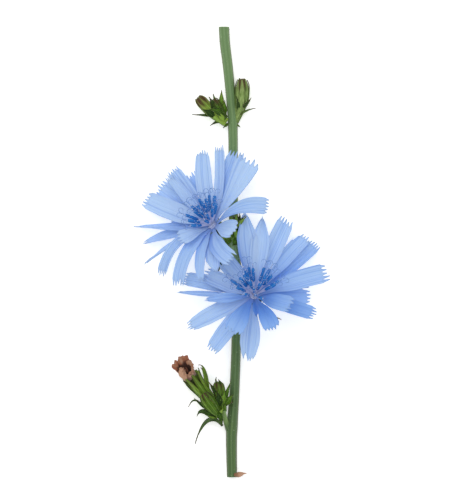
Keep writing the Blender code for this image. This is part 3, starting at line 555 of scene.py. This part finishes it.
def make_head(name, heads, bracts, seed, look, inner=8):
    """Closed heads on one foot, each a core in its folded bracts, with the loose bracts round them."""
    draw = random.Random(seed)
    bm, core = new_form(), new_form()
    for spec in heads:
        add_closed_head(bm, core, spec, draw, inner)
    for bract in bracts:
        add_bract(bm, bract, pick=draw.random())
    finish_piece(name + "_core", core, look, [])
    return finish_piece(name, bm, look, [name], thickness=0.14)


def make_cup(name, line, radius, seed, spread=1.0, flare=0.5, outer=5, inner=8, extra=()):
    """Vase of bracts: eight long inner ones round the florets and five short spreading outer ones."""
    draw = random.Random(seed)
    bm, core = new_form(), new_form()
    radius_of = lambda t: radius * (0.55 + 0.45 * smooth_step(0.0, 0.3, t))
    rod(core, lambda t: curve_point(line, t), lambda t, angle: radius_of(t) * 0.90, 24, 10, 0.2, shade=-0.6)
    for index in range(inner):
        turn = 2.0 * math.pi * (index + 0.1) / inner
        wrap_bract(bm, line, radius_of, turn, 1.1 * math.pi / inner, 0.02, draw.uniform(1.03, 1.12), 0.35,
                   draw.random(), draw.uniform(0.1, 0.6), flare=flare, stand=0.05 + 0.08 * (index % 2))
    for index in range(outer):
        turn = 2.0 * math.pi * (index + 0.3) / outer
        heading = curve_heading(line, 0.1)
        side = UP.cross(heading).normalized()
        outward = side * math.cos(turn) + heading.cross(side) * math.sin(turn)
        root = curve_point(line, 0.10) + outward * radius * 0.55
        middle = curve_point(line, 0.36) + outward * radius * 1.55 * spread
        tip = curve_point(line, 0.56) + outward * radius * 1.30 * spread
        leaf = Bract([root, middle, tip], 2.0, 0.3, -0.2)
        add_bract(bm, leaf, face=outward, curl=-0.3, pick=draw.random())
    for bract in extra:
        add_bract(bm, bract, pick=draw.random())
    finish_piece(name + "_core", core, bract_look, [])
    return finish_piece(name, bm, bract_look, [name], thickness=0.14)


def cup_line(flower):
    """From the axil up to just under the disc, where it meets it along the flower's axis."""
    top = flower.centre - flower.axis * 0.9
    base = flower.base + (Vector((0.0, flower.base.y, 1.6)) - flower.base) * 0.25
    return [base, top - flower.axis * 4.2, top]


def stem_station(t):
    """Middle (x, y) and radius of the stem at t, smoothly through the listed points."""
    last = len(STEM_LINE) - 1
    place = min(max(t, 0.0), 1.0) * last
    index = min(int(place), last - 1)
    local = place - index
    a, b, c, d = [Vector(STEM_LINE[min(max(index + step, 0), last)]) for step in (-1, 0, 1, 2)]
    value = b * 2.0 + (c - a) * local + (a * 2.0 - b * 5.0 + c * 4.0 - d) * local ** 2
    return (value + (b * 3.0 - a - c * 3.0 + d) * local ** 3) * 0.5


def stem_centre(t):
    """Middle line, a little lower than the radius, where the stem presses on the floor."""
    station = stem_station(t)
    beyond = min(t, 0.0) + max(t - 1.0, 0.0)
    return Vector((station.x, station.y - 100.0 * beyond, station.z - REST_CUT))


def stem_radius(t, angle):
    """Ribbed outside: eight rounded main ribs with finer ridges between."""
    station = stem_station(t)
    main = 0.5 + 0.5 * math.cos(STEM_RIBS * angle)
    fine = 0.5 + 0.5 * math.cos(3 * STEM_RIBS * angle)
    rough = 0.012 * ripple(90.0 * t, 3.0 * math.cos(angle), 3.0 * math.sin(angle))
    swell = sum(math.exp(-((station.y - height) / 1.6) ** 2) for height in STEM_NODES)
    return station.z - 0.07 * (1.0 - main ** 0.7) - 0.02 * (1.0 - fine) + rough + 0.06 * swell


def make_stem_hairs(count=150):
    """Sparse bristles that stand off the ribs of the stem."""
    for _ in range(count):
        t = hair_draw.uniform(0.01, 0.99)
        angle = math.pi / STEM_RIBS * 2 * hair_draw.randint(0, STEM_RIBS - 1) + hair_draw.uniform(-0.1, 0.1)
        heading = (stem_centre(t + 0.01) - stem_centre(t - 0.01)).normalized()
        across = UP.cross(heading).normalized()
        outward = across * math.cos(angle) + heading.cross(across) * math.sin(angle)
        root = stem_centre(t) + outward * stem_radius(t, angle)
        if root.z > 0.5:
            add_hair(green_hairs, root, outward + heading * hair_draw.uniform(-0.4, 0.4),
                     hair_draw.uniform(0.15, 0.45), 0.05)
    finish_piece("green_hairs", green_hairs, hair_look, [])


def make_stem():
    """Ribbed stem with straight cuts, and the short stalk of the lower heads, paler above its root."""
    bm = new_form()
    top, foot = STEM_LINE[0][1], STEM_LINE[-1][1]
    past_cuts = lambda t: 1.006 * t - 0.003
    rod(bm, lambda t: stem_centre(past_cuts(t)), lambda t, angle: stem_radius(past_cuts(t), angle),
        96, 160)
    line, radius = SIDE_STALK
    rod(bm, lambda t: curve_point(line, t),
        lambda t, angle: radius * (1.0 + 0.05 * math.cos(7 * angle)) * (1.0 - 0.15 * t), 42, 14, shade=0.45)
    shades, alongs = bm.verts.layers.float["shade"], bm.verts.layers.float["along"]
    for vertex in bm.verts:
        vertex[shades] *= smooth_step(0.30, 0.65, vertex[alongs])
        vertex.co.y = min(max(vertex.co.y, foot), top)
        vertex.co.z = max(vertex.co.z, 0.0)
    return finish_piece("stem", bm, stem_look, ["stem"])


# Withered corolla: the middle of its foot and of its mouth, the way it leans, and its lobes, each with the
# turn round the mouth, half width in degrees, bulge, reach and height of the rim, and colour from 0 tan to
# 1 red-brown.
SPENT_FOOT = Vector((-10.9, -29.1, 2.5))
SPENT_MOUTH = Vector((-12.7, -26.4, 4.4))
SPENT_LEAN = Vector((-0.6, 0.8, 0.0))
Lobe = namedtuple("Lobe", "turn half bulge rim height tone")
SPENT_LOBES = [
    Lobe(222, 58, 2.45, 0.45, 5.7, -0.1), Lobe(160, 26, 2.35, 3.15, 4.9, 0.8),
    Lobe(103, 38, 2.0, 2.95, 5.2, 0.6), Lobe(40, 48, 1.35, 2.3, 5.3, 0.25), Lobe(-40, 50, 1.6, 1.9, 4.7, 0.1),
]


def lobe_point(lobe, pick, side, t, inset=0.0):
    """Point of a lobe, from the foot at t = 0 to its crumpled rim at t = 1, or that far inside it."""
    angle = math.radians(lobe.turn + lobe.half * side * (1.0 - 0.20 * smooth_step(0.75, 1.0, t)))
    flat = Vector((math.cos(angle), math.sin(angle), 0.0))
    beside = UP.cross(SPENT_LEAN)
    round_foot = beside * flat.dot(beside) - UP * flat.dot(SPENT_LEAN)
    wrinkle = 0.32 * ripple(2.5 * t, 1.4 * side, 9.0 * pick) + 0.10 * math.cos(9.0 * side + 6.0 * pick)
    wrinkle -= inset
    crumple = 0.60 * ripple(5.0 * t, 3.0 * side, 9.0 * pick + 4.0) * smooth_step(0.4, 1.0, t)
    low = SPENT_FOOT + round_foot * 1.45
    belly = SPENT_FOOT.lerp(SPENT_MOUTH, 0.55) + (round_foot + flat).normalized() * (lobe.bulge + wrinkle)
    high = SPENT_MOUTH + flat * (lobe.bulge + wrinkle)
    rim = SPENT_MOUTH + flat * (lobe.rim - 0.20 * side * side + 0.5 * wrinkle)
    rim.z = lobe.height - 0.35 * side * side + 0.8 * wrinkle
    return curve_point([low, belly, high, rim], t) + (flat + UP) * crumple


def make_spent_petals():
    """Withered corolla: a shrunken papery cup with crumpled lobes, and painted shade in its hollow: dark
    inner sheets within the lobes, a dark plug and darkened strands.
    """
    draw = random.Random(11)
    bm, shade_lining, inside = new_form(), new_form(), new_form()
    for lobe in SPENT_LOBES:
        pick = draw.random()
        plate(bm, lambda side, t: lobe_point(lobe, pick, side, t), 18, 24,
              lobe.tone, pick, draw.uniform(-0.3, 0.4))
        # An inner sheet just within the lobe carries the painted shade of the hollow.
        plate(shade_lining, lambda side, t: lobe_point(lobe, pick, side, 0.05 + 0.85 * t, 0.14), 14, 18,
              lobe.tone, pick)
    # Painted shade: the inner sheet is dark low in the hollow and fades to the lobes' colour at the rim.
    shades, alongs = shade_lining.verts.layers.float["shade"], shade_lining.verts.layers.float["along"]
    for vertex in shade_lining.verts:
        vertex[shades] = -1.0 + smooth_step(0.55, 1.0, vertex[alongs])
    # A dark plug at the foot: painted shade that fills the bottom of the hollow.
    floor_at = SPENT_FOOT.lerp(SPENT_MOUTH, 0.35)
    rod(inside, lambda t: SPENT_FOOT.lerp(floor_at, t), lambda t, angle: 1.1, 20, 6, 1.0, shade=-1.0)
    # Withered strands in the hollow, darkened with painted shade.
    for index in range(7):
        root = floor_at - UP * 0.3
        spread = Vector((draw.uniform(-0.9, 0.5), draw.uniform(-0.3, 1.0), draw.uniform(0.0, 0.5)))
        tip = SPENT_FOOT.lerp(SPENT_MOUTH, 0.85) + spread - UP * 0.6
        rod(inside, lambda t: root.lerp(tip, t), lambda t, angle: 0.2 - 0.1 * t, 7, 5,
            0.9, draw.random(), SPENT_LEAN, -0.75)
    finish_piece("spent_inside_painted_shade", inside, withered_look, [])
    finish_piece("spent_shade_lining", shade_lining, withered_look, [], thickness=0.06)
    return finish_piece("spent_petals", bm, withered_look, ["spent_petals"], thickness=0.16)


def make_single(name, bract, material, nodes, curl=0.35):
    """Leaf or bract that is a piece of its own."""
    bm = new_form()
    add_bract(bm, bract, columns=12, rows=36, curl=curl, pick=0.4)
    return finish_piece(name, bm, material, nodes, thickness=0.16)


# Materials

def new_look(name, roughness):
    """Material with its node tree and shader, ready for colour and bump."""
    look = bpy.data.materials.new(name)
    look.use_nodes = True
    shader = look.node_tree.nodes["Principled BSDF"]
    shader.inputs["Roughness"].default_value = roughness
    return look, look.node_tree, shader


def colour(red, green, blue):
    """Linear colour from 0..255 values as they look on a screen."""
    return tuple((channel / 255.0) ** 2.2 for channel in (red, green, blue)) + (1.0,)


def mark_value(tree, name):
    """Value of one of the marks that the mesh carries."""
    reader = tree.nodes.new("ShaderNodeAttribute")
    reader.attribute_name = name
    return reader.outputs["Fac"]


def calculate(tree, operation, first, second=0.0, third=0.0):
    sum_node = tree.nodes.new("ShaderNodeMath")
    sum_node.operation = operation
    for socket, value in zip(sum_node.inputs, (first, second, third)):
        if isinstance(value, (int, float)):
            socket.default_value = value
        else:
            tree.links.new(value, socket)
    return sum_node.outputs[0]


def remap(tree, value, low, high, out_low=0.0, out_high=1.0):
    ranger = tree.nodes.new("ShaderNodeMapRange")
    ranger.interpolation_type = "SMOOTHSTEP"
    for name, number in (("From Min", low), ("From Max", high), ("To Min", out_low), ("To Max", out_high)):
        ranger.inputs[name].default_value = number
    tree.links.new(value, ranger.inputs["Value"])
    return ranger.outputs["Result"]


def blend_colour(tree, amount, first, second, mode="MIX"):
    mixer = tree.nodes.new("ShaderNodeMix")
    mixer.data_type = "RGBA"
    mixer.blend_type = mode
    for socket, value in ((mixer.inputs[0], amount), (mixer.inputs[6], first), (mixer.inputs[7], second)):
        if isinstance(value, (tuple, int, float)):
            socket.default_value = value
        else:
            tree.links.new(value, socket)
    return mixer.outputs[2]


def own_space(tree, across_scale, along_scale, pick_scale=40.0):
    """Coordinates that follow the piece: across it, along it, and a different place for each copy."""
    joined = tree.nodes.new("ShaderNodeCombineXYZ")
    tree.links.new(calculate(tree, "MULTIPLY", mark_value(tree, "across"), across_scale), joined.inputs[0])
    tree.links.new(calculate(tree, "MULTIPLY", mark_value(tree, "along"), along_scale), joined.inputs[1])
    tree.links.new(calculate(tree, "MULTIPLY", mark_value(tree, "pick"), pick_scale), joined.inputs[2])
    return joined.outputs[0]


def object_space(tree):
    return tree.nodes.new("ShaderNodeTexCoord").outputs["Object"]


def speckle(tree, space, scale, detail=3.0, roughness=0.55):
    cloud = tree.nodes.new("ShaderNodeTexNoise")
    cloud.inputs["Scale"].default_value = scale
    cloud.inputs["Detail"].default_value = detail
    cloud.inputs["Roughness"].default_value = roughness
    tree.links.new(space, cloud.inputs["Vector"])
    return cloud.outputs["Fac"]


def add_bump(tree, shader, height, strength, distance):
    bump = tree.nodes.new("ShaderNodeBump")
    bump.inputs["Strength"].default_value = strength
    bump.inputs["Distance"].default_value = distance * MM
    tree.links.new(height, bump.inputs["Height"])
    tree.links.new(bump.outputs["Normal"], shader.inputs["Normal"])


def make_petal_look():
    """Pale to deep blue along thin veins, with fine lengthwise ridges and painted shade: a depth of blue
    for the light each petal lies in, darker bands, deeper blue down one side and at the root.
    """
    look, tree, shader = new_look("petal", 0.62)
    along, across, tone = (mark_value(tree, name) for name in ("along", "across", "tone"))
    pale, mid, deep = colour(176, 204, 246), colour(128, 168, 236), colour(80, 130, 214)
    # Painted light and shade: each petal's tone sets its depth of blue, a little deeper towards the root.
    shade_toward_root = remap(tree, along, 0.1, 0.95, 1.0, 0.6)
    depth = calculate(tree, "MULTIPLY", tone, shade_toward_root)
    body = blend_colour(tree, remap(tree, depth, 0.0, 0.9), pale, mid)
    body = blend_colour(tree, remap(tree, depth, 0.55, 1.1), body, deep)
    streaks = speckle(tree, own_space(tree, 9.0, 0.7), 2.6, 4.0, 0.6)
    body = blend_colour(tree, remap(tree, streaks, 0.45, 0.75, 0.0, 0.40), body, mid)
    # Painted fold shade: darker blue lengthwise bands laid at random.
    folds = speckle(tree, own_space(tree, 4.0, 0.25), 1.5, 1.0)
    body = blend_colour(tree, remap(tree, folds, 0.56, 0.62, 0.0, 0.36), body, colour(100, 138, 216))
    five_waves = calculate(tree, "COSINE", calculate(tree, "MULTIPLY", across, math.pi * 2.5))
    lines = calculate(tree, "ABSOLUTE", five_waves)
    patchy = remap(tree, speckle(tree, own_space(tree, 2.5, 1.2), 1.7), 0.42, 0.60, 0.15, 1.0)
    vein = calculate(tree, "MULTIPLY", remap(tree, lines, 0.0, 0.16, 0.48, 0.0), patchy)
    body = blend_colour(tree, vein, body, colour(104, 140, 220))
    # Painted fold shade: deep blue down the side the shade mark names, fading towards the tip.
    folded = remap(tree, calculate(tree, "MULTIPLY", across, mark_value(tree, "shade")), 0.10, 0.95)
    folded = calculate(tree, "MULTIPLY", folded, remap(tree, along, 0.15, 0.90, 0.75, 0.10))
    body = blend_colour(tree, folded, body, colour(86, 130, 226))
    # Painted shade at the root, under the florets: a deeper blue.
    body = blend_colour(tree, remap(tree, along, 0.0, 0.30, 0.6, 0.0), body, colour(118, 150, 224))
    body = blend_colour(tree, remap(tree, along, 0.965, 1.0, 0.0, 0.35), body, colour(120, 140, 176))
    tree.links.new(body, shader.inputs["Base Color"])
    shader.inputs["Subsurface Weight"].default_value = 0.15
    shader.inputs["Subsurface Radius"].default_value = (0.0006, 0.0008, 0.0014)
    shader.inputs["Subsurface Scale"].default_value = 1.0
    shader.inputs["Sheen Weight"].default_value = 0.12
    shader.inputs["Sheen Roughness"].default_value = 0.5
    shader.inputs["Specular IOR Level"].default_value = 0.3
    add_bump(tree, shader, speckle(tree, own_space(tree, 26.0, 1.2), 2.0, 2.0), 0.5, 0.06)
    return look


def make_anther_look():
    """Saturated dark blue tube on a pale lilac filament, with darker seams."""
    look, tree, shader = new_look("anther", 0.5)
    along, across = mark_value(tree, "along"), mark_value(tree, "across")
    blue, seam = colour(0, 106, 190), colour(110, 176, 236)
    five_seams = calculate(tree, "COSINE", calculate(tree, "MULTIPLY", across, math.pi * 2.5))
    seams = remap(tree, calculate(tree, "ABSOLUTE", five_seams), 0.0, 0.35, 0.55, 0.0)
    body = blend_colour(tree, seams, blue, seam)
    mottled = speckle(tree, own_space(tree, 1.5, 4.0), 1.6)
    body = blend_colour(tree, remap(tree, mottled, 0.45, 0.70, 0.0, 0.5), body, colour(44, 142, 222))
    below = remap(tree, along, 0.43, 0.48, 1.0, 0.0)
    filament = calculate(tree, "MAXIMUM", below, mark_value(tree, "tone"))
    body = blend_colour(tree, filament, body, colour(206, 212, 242))
    tree.links.new(body, shader.inputs["Base Color"])
    add_bump(tree, shader, speckle(tree, own_space(tree, 8.0, 20.0), 2.0), 0.4, 0.05)
    return look


def make_style_look():
    """Pale blue style arms, dusted lighter."""
    look, tree, shader = new_look("style", 0.6)
    dust = speckle(tree, object_space(tree), 2500.0)
    body = blend_colour(tree, remap(tree, dust, 0.4, 0.65), colour(92, 128, 196), colour(122, 158, 220))
    tree.links.new(body, shader.inputs["Base Color"])
    return look


def make_pollen_look():
    look, tree, shader = new_look("pollen", 0.85)
    dust = speckle(tree, object_space(tree), 4000.0)
    body = blend_colour(tree, dust, colour(236, 240, 250), colour(250, 252, 255))
    tree.links.new(body, shader.inputs["Base Color"])
    return look


def make_throat_look():
    """Pale lilac floret bases."""
    look, tree, shader = new_look("throat", 0.6)
    body = blend_colour(tree, mark_value(tree, "along"), colour(150, 176, 234), colour(218, 224, 242))
    tree.links.new(body, shader.inputs["Base Color"])
    return look


def make_stem_look():
    """Fresh green, greyer above and darker below, with paler ribs, long streaks and light specks, and
    painted brown-olive shade down both flanks.
    """
    look, tree, shader = new_look("stem", 0.55)
    space = object_space(tree)
    split = tree.nodes.new("ShaderNodeSeparateXYZ")
    tree.links.new(space, split.inputs[0])
    height = remap(tree, split.outputs["Y"], -0.045, 0.05)
    body = blend_colour(tree, height, colour(64, 92, 50), colour(106, 137, 90))
    angle = calculate(tree, "MULTIPLY", mark_value(tree, "across"), math.pi * STEM_RIBS)
    ribs = calculate(tree, "MULTIPLY_ADD", calculate(tree, "COSINE", angle), 0.5, 0.5)
    body = blend_colour(tree, remap(tree, ribs, 0.3, 1.0, 0.0, 0.14), body, colour(140, 164, 120))
    body = blend_colour(tree, remap(tree, ribs, 0.0, 0.22, 0.25, 0.0), body, colour(66, 88, 46))
    bands = speckle(tree, own_space(tree, 5.0, 1.0), 1.3, 1.0)
    body = blend_colour(tree, remap(tree, bands, 0.45, 0.62, 0.0, 0.30), body, colour(104, 140, 70))
    stalk = calculate(tree, "MULTIPLY", mark_value(tree, "shade"), 1.2)
    body = blend_colour(tree, stalk, body, colour(146, 178, 104))
    streaks = speckle(tree, own_space(tree, 14.0, 6.0), 2.0, 4.0)
    body = blend_colour(tree, remap(tree, streaks, 0.45, 0.7, 0.0, 0.30), body, colour(98, 128, 48))
    # Painted shade: brown-olive darkening down both flanks of the stem and of the stalk.
    half_turn = calculate(tree, "MULTIPLY", mark_value(tree, "across"), math.pi)
    flank_shade = calculate(tree, "ABSOLUTE", calculate(tree, "COSINE", half_turn))
    body = blend_colour(tree, remap(tree, flank_shade, 0.82, 1.0, 0.0, 0.60), body, colour(92, 80, 56))
    grain = speckle(tree, space, 2600.0, 2.0)
    body = blend_colour(tree, remap(tree, grain, 0.66, 0.74, 0.0, 0.5), body, colour(170, 190, 150))
    tree.links.new(body, shader.inputs["Base Color"])
    shader.inputs["Subsurface Weight"].default_value = 0.05
    shader.inputs["Subsurface Radius"].default_value = (0.0004, 0.0008, 0.0003)
    shader.inputs["Subsurface Scale"].default_value = 1.0
    add_bump(tree, shader, speckle(tree, own_space(tree, 60.0, 14.0), 2.0, 3.0), 0.5, 0.05)
    return look


def make_bract_look(name, dark, mid, pale):
    """Green bract, dark to pale by its shade mark, partly its own green and partly painted shade, with a
    paler midrib and side ribs, darker rims and a brown or purple tip.
    """
    look, tree, shader = new_look(name, 0.6)
    along, across, brown, shade = (mark_value(tree, name) for name in ("along", "across", "tone", "shade"))
    mottled = speckle(tree, own_space(tree, 3.0, 5.0), 1.6, 4.0)
    # The shade mark sets the green from dark to pale: partly the bract's own green, partly painted shade.
    level = calculate(tree, "ADD", shade, remap(tree, mottled, 0.35, 0.65, -0.35, 0.35))
    body = blend_colour(tree, remap(tree, level, -1.0, 0.0), dark, mid)
    body = blend_colour(tree, remap(tree, level, 0.0, 1.0), body, pale)
    centre = calculate(tree, "ABSOLUTE", across)
    clear = remap(tree, shade, -1.0, 0.2, 0.2, 1.0)
    midrib = calculate(tree, "MULTIPLY", remap(tree, centre, 0.0, 0.20, 0.6, 0.0), clear)
    body = blend_colour(tree, midrib, body, colour(146, 174, 96))
    beside = calculate(tree, "ABSOLUTE", calculate(tree, "SUBTRACT", centre, 0.55))
    side_rib = calculate(tree, "MULTIPLY", remap(tree, beside, 0.0, 0.12, 0.35, 0.0), clear)
    body = blend_colour(tree, side_rib, body, colour(134, 164, 78))
    rim = blend_colour(tree, brown, colour(40, 62, 22), colour(98, 70, 58))
    body = blend_colour(tree, remap(tree, centre, 0.72, 1.0, 0.0, 0.7), body, rim)
    lines = speckle(tree, own_space(tree, 12.0, 0.8), 2.0, 2.0)
    body = blend_colour(tree, remap(tree, lines, 0.5, 0.7, 0.0, 0.4), body, colour(52, 80, 28))
    tip = calculate(tree, "MULTIPLY", remap(tree, along, 0.62, 0.96), brown)
    off_rib = remap(tree, centre, 0.0, 0.4, 0.35, 1.0)
    body = blend_colour(tree, calculate(tree, "MULTIPLY", tip, off_rib), body, colour(88, 58, 48))
    tree.links.new(body, shader.inputs["Base Color"])
    shader.inputs["Specular IOR Level"].default_value = 0.2
    shader.inputs["Subsurface Weight"].default_value = 0.06
    shader.inputs["Subsurface Radius"].default_value = (0.0003, 0.0008, 0.0002)
    shader.inputs["Subsurface Scale"].default_value = 1.0
    add_bump(tree, shader, speckle(tree, own_space(tree, 14.0, 6.0), 2.0, 3.0), 0.5, 0.06)
    return look


def make_hair_look():
    """Pale green hairs, clearer towards the point."""
    look, tree, shader = new_look("hair", 0.5)
    body = blend_colour(tree, mark_value(tree, "along"), colour(120, 146, 84), colour(206, 218, 186))
    tree.links.new(body, shader.inputs["Base Color"])
    return look


def make_withered_look(name, root):
    """Dry tan-brown skin, redder on some lobes, with darker streaks along its wrinkles, of another colour
    at the root, and with painted shade, near black-brown, where the shade mark is low.
    """
    look, tree, shader = new_look(name, 0.8)
    along, tone, shade = (mark_value(tree, name) for name in ("along", "tone", "shade"))
    patches = speckle(tree, own_space(tree, 1.6, 1.6), 1.4, 4.0)
    warm = calculate(tree, "ADD", tone, remap(tree, patches, 0.35, 0.65, -0.35, 0.35))
    body = blend_colour(tree, remap(tree, warm, 0.0, 1.0), colour(190, 148, 120), colour(162, 100, 72))
    lines = speckle(tree, own_space(tree, 7.0, 0.8), 2.0, 4.0)
    body = blend_colour(tree, remap(tree, lines, 0.5, 0.70, 0.0, 0.40), body, colour(126, 82, 70))
    body = blend_colour(tree, remap(tree, along, 0.92, 1.0, 0.0, 0.5), body, colour(120, 72, 54))
    body = blend_colour(tree, remap(tree, along, 0.1, 0.45, 0.85, 0.0), body, root)
    # Painted shade: near black-brown where the shade mark is low, in the hollow.
    body = blend_colour(tree, remap(tree, shade, -1.0, -0.4, 0.9, 0.0), body, colour(58, 34, 30))
    tree.links.new(body, shader.inputs["Base Color"])
    add_bump(tree, shader, lines, 0.6, 0.10)
    return look


def make_floor_look():
    look, tree, shader = new_look("floor", 0.9)
    grain = speckle(tree, object_space(tree), 60.0)
    body = blend_colour(tree, grain, (0.90, 0.90, 0.90, 1.0), (0.92, 0.92, 0.92, 1.0))
    tree.links.new(body, shader.inputs["Base Color"])
    shader.inputs["Specular IOR Level"].default_value = 0.0
    shader.inputs["Emission Color"].default_value = (1.0, 1.0, 1.0, 1.0)
    shader.inputs["Emission Strength"].default_value = 0.44
    return look


petal_look = make_petal_look()
anther_look = make_anther_look()
style_look = make_style_look()
pollen_look = make_pollen_look()
throat_look = make_throat_look()
stem_look = make_stem_look()
bract_look = make_bract_look("bract", colour(26, 50, 6), colour(76, 113, 10), colour(144, 178, 70))
bud_look = make_bract_look("bud", colour(40, 62, 26), colour(98, 124, 60), colour(158, 182, 112))
leaf_look = make_bract_look("leaf", colour(46, 66, 38), colour(90, 112, 70), colour(140, 162, 112))
# The blade's own grey-green, made lighter than the leaf's as painted light where the blade lies in shade.
blade_look = make_bract_look("blade", colour(70, 92, 56), colour(106, 130, 84), colour(150, 172, 124))
hair_look = make_hair_look()
withered_look = make_withered_look("withered", colour(136, 116, 112))
scale_look = make_withered_look("dry_scale", colour(128, 92, 66))

green_hairs = new_form()
hair_draw = random.Random(77)
make_stem()
make_petals("left_flower_petals", LEFT_FLOWER, LEFT_PETALS, petal_look, 21)
make_petals("right_flower_petals", RIGHT_FLOWER, RIGHT_PETALS, petal_look, 22)
make_florets("left_flower", LEFT_FLOWER, LEFT_FLORETS, 31)
make_florets("right_flower", RIGHT_FLOWER, RIGHT_FLORETS, 32)
make_receptacle("left_flower", LEFT_FLOWER, throat_look)
make_receptacle("right_flower", RIGHT_FLOWER, throat_look)
make_cup("left_flower_cup", cup_line(LEFT_FLOWER), CUP_RADIUS, 41)
make_cup("right_flower_cup", cup_line(RIGHT_FLOWER), CUP_RADIUS, 42, extra=(SPREAD_BRACT,))
make_cup("spent_cup", SPENT_CUP.line, SPENT_CUP.radius, 43, spread=0.8, flare=0.9, extra=SPENT_BRACTS)
make_head("top_buds_left", [TOP_LEFT_BUD, TOP_SMALL_BUD], TOP_LEFT_BRACTS, 51, bract_look)
make_head("top_bud_right", [TOP_RIGHT_BUD], TOP_RIGHT_BRACTS, 52, bud_look)
make_head("middle_bud", [MIDDLE_BUD], MIDDLE_BRACTS, 53, bract_look)
make_head("low_bud_front", [LOW_FRONT_BUD], LOW_FRONT_BRACTS, 54, bract_look)
make_head("low_bud_back", [LOW_BACK_BUD], LOW_BACK_BRACTS, 55, bract_look)
make_spent_petals()
make_single("middle_blade", MIDDLE_BLADE, blade_look, [])
make_single("middle_leaf", MIDDLE_LEAF, bract_look, ["middle_leaf"])
make_single("low_leaf", LOW_LEAF, leaf_look, ["low_leaf"])
make_single("foot_bract", FOOT_BRACT, scale_look, ["foot_bract"])
make_stem_hairs()

# Floor, light and camera

floor_bm = bmesh.new()
bmesh.ops.create_grid(floor_bm, x_segments=1, y_segments=1, size=2.0)
floor_mesh = bpy.data.meshes.new("floor")
floor_bm.to_mesh(floor_mesh)
floor_bm.free()
floor = bpy.data.objects.new("floor", floor_mesh)
bpy.context.scene.collection.objects.link(floor)
floor_mesh.materials.append(make_floor_look())


def add_light(name, place, size, power, aim=(0.0, 0.0, 0.005)):
    """Large soft square light aimed at the flowers."""
    data = bpy.data.lights.new(name, "AREA")
    data.size = size
    data.energy = power
    lamp = bpy.data.objects.new(name, data)
    lamp.location = place
    lamp.rotation_euler = (Vector(aim) - Vector(place)).to_track_quat("-Z", "Y").to_euler()
    bpy.context.scene.collection.objects.link(lamp)


add_light("key", (-0.25, 0.40, 0.90), 0.9, 4.0)
add_light("fill", (0.55, -0.2, 0.7), 0.9, 1.1)

world = bpy.data.worlds.new("studio")
world.use_nodes = True
world.node_tree.nodes["Background"].inputs["Color"].default_value = (1.0, 1.0, 1.0, 1.0)
world.node_tree.nodes["Background"].inputs["Strength"].default_value = 0.60
bpy.context.scene.world = world
bpy.context.scene.view_settings.view_transform = "Standard"

FRAME_HEIGHT = 0.126          # what the frame's long side spans at the stem, in metres
CAMERA_DISTANCE = 1.6
camera_data = bpy.data.cameras.new("camera")
camera_data.sensor_width = 36.0
camera_data.lens = 36.0 * CAMERA_DISTANCE / FRAME_HEIGHT
camera_data.clip_start = 0.01
camera = bpy.data.objects.new("camera", camera_data)
camera.location = (-0.00275, 0.0025, CAMERA_DISTANCE)
bpy.context.scene.collection.objects.link(camera)
bpy.context.scene.camera = camera
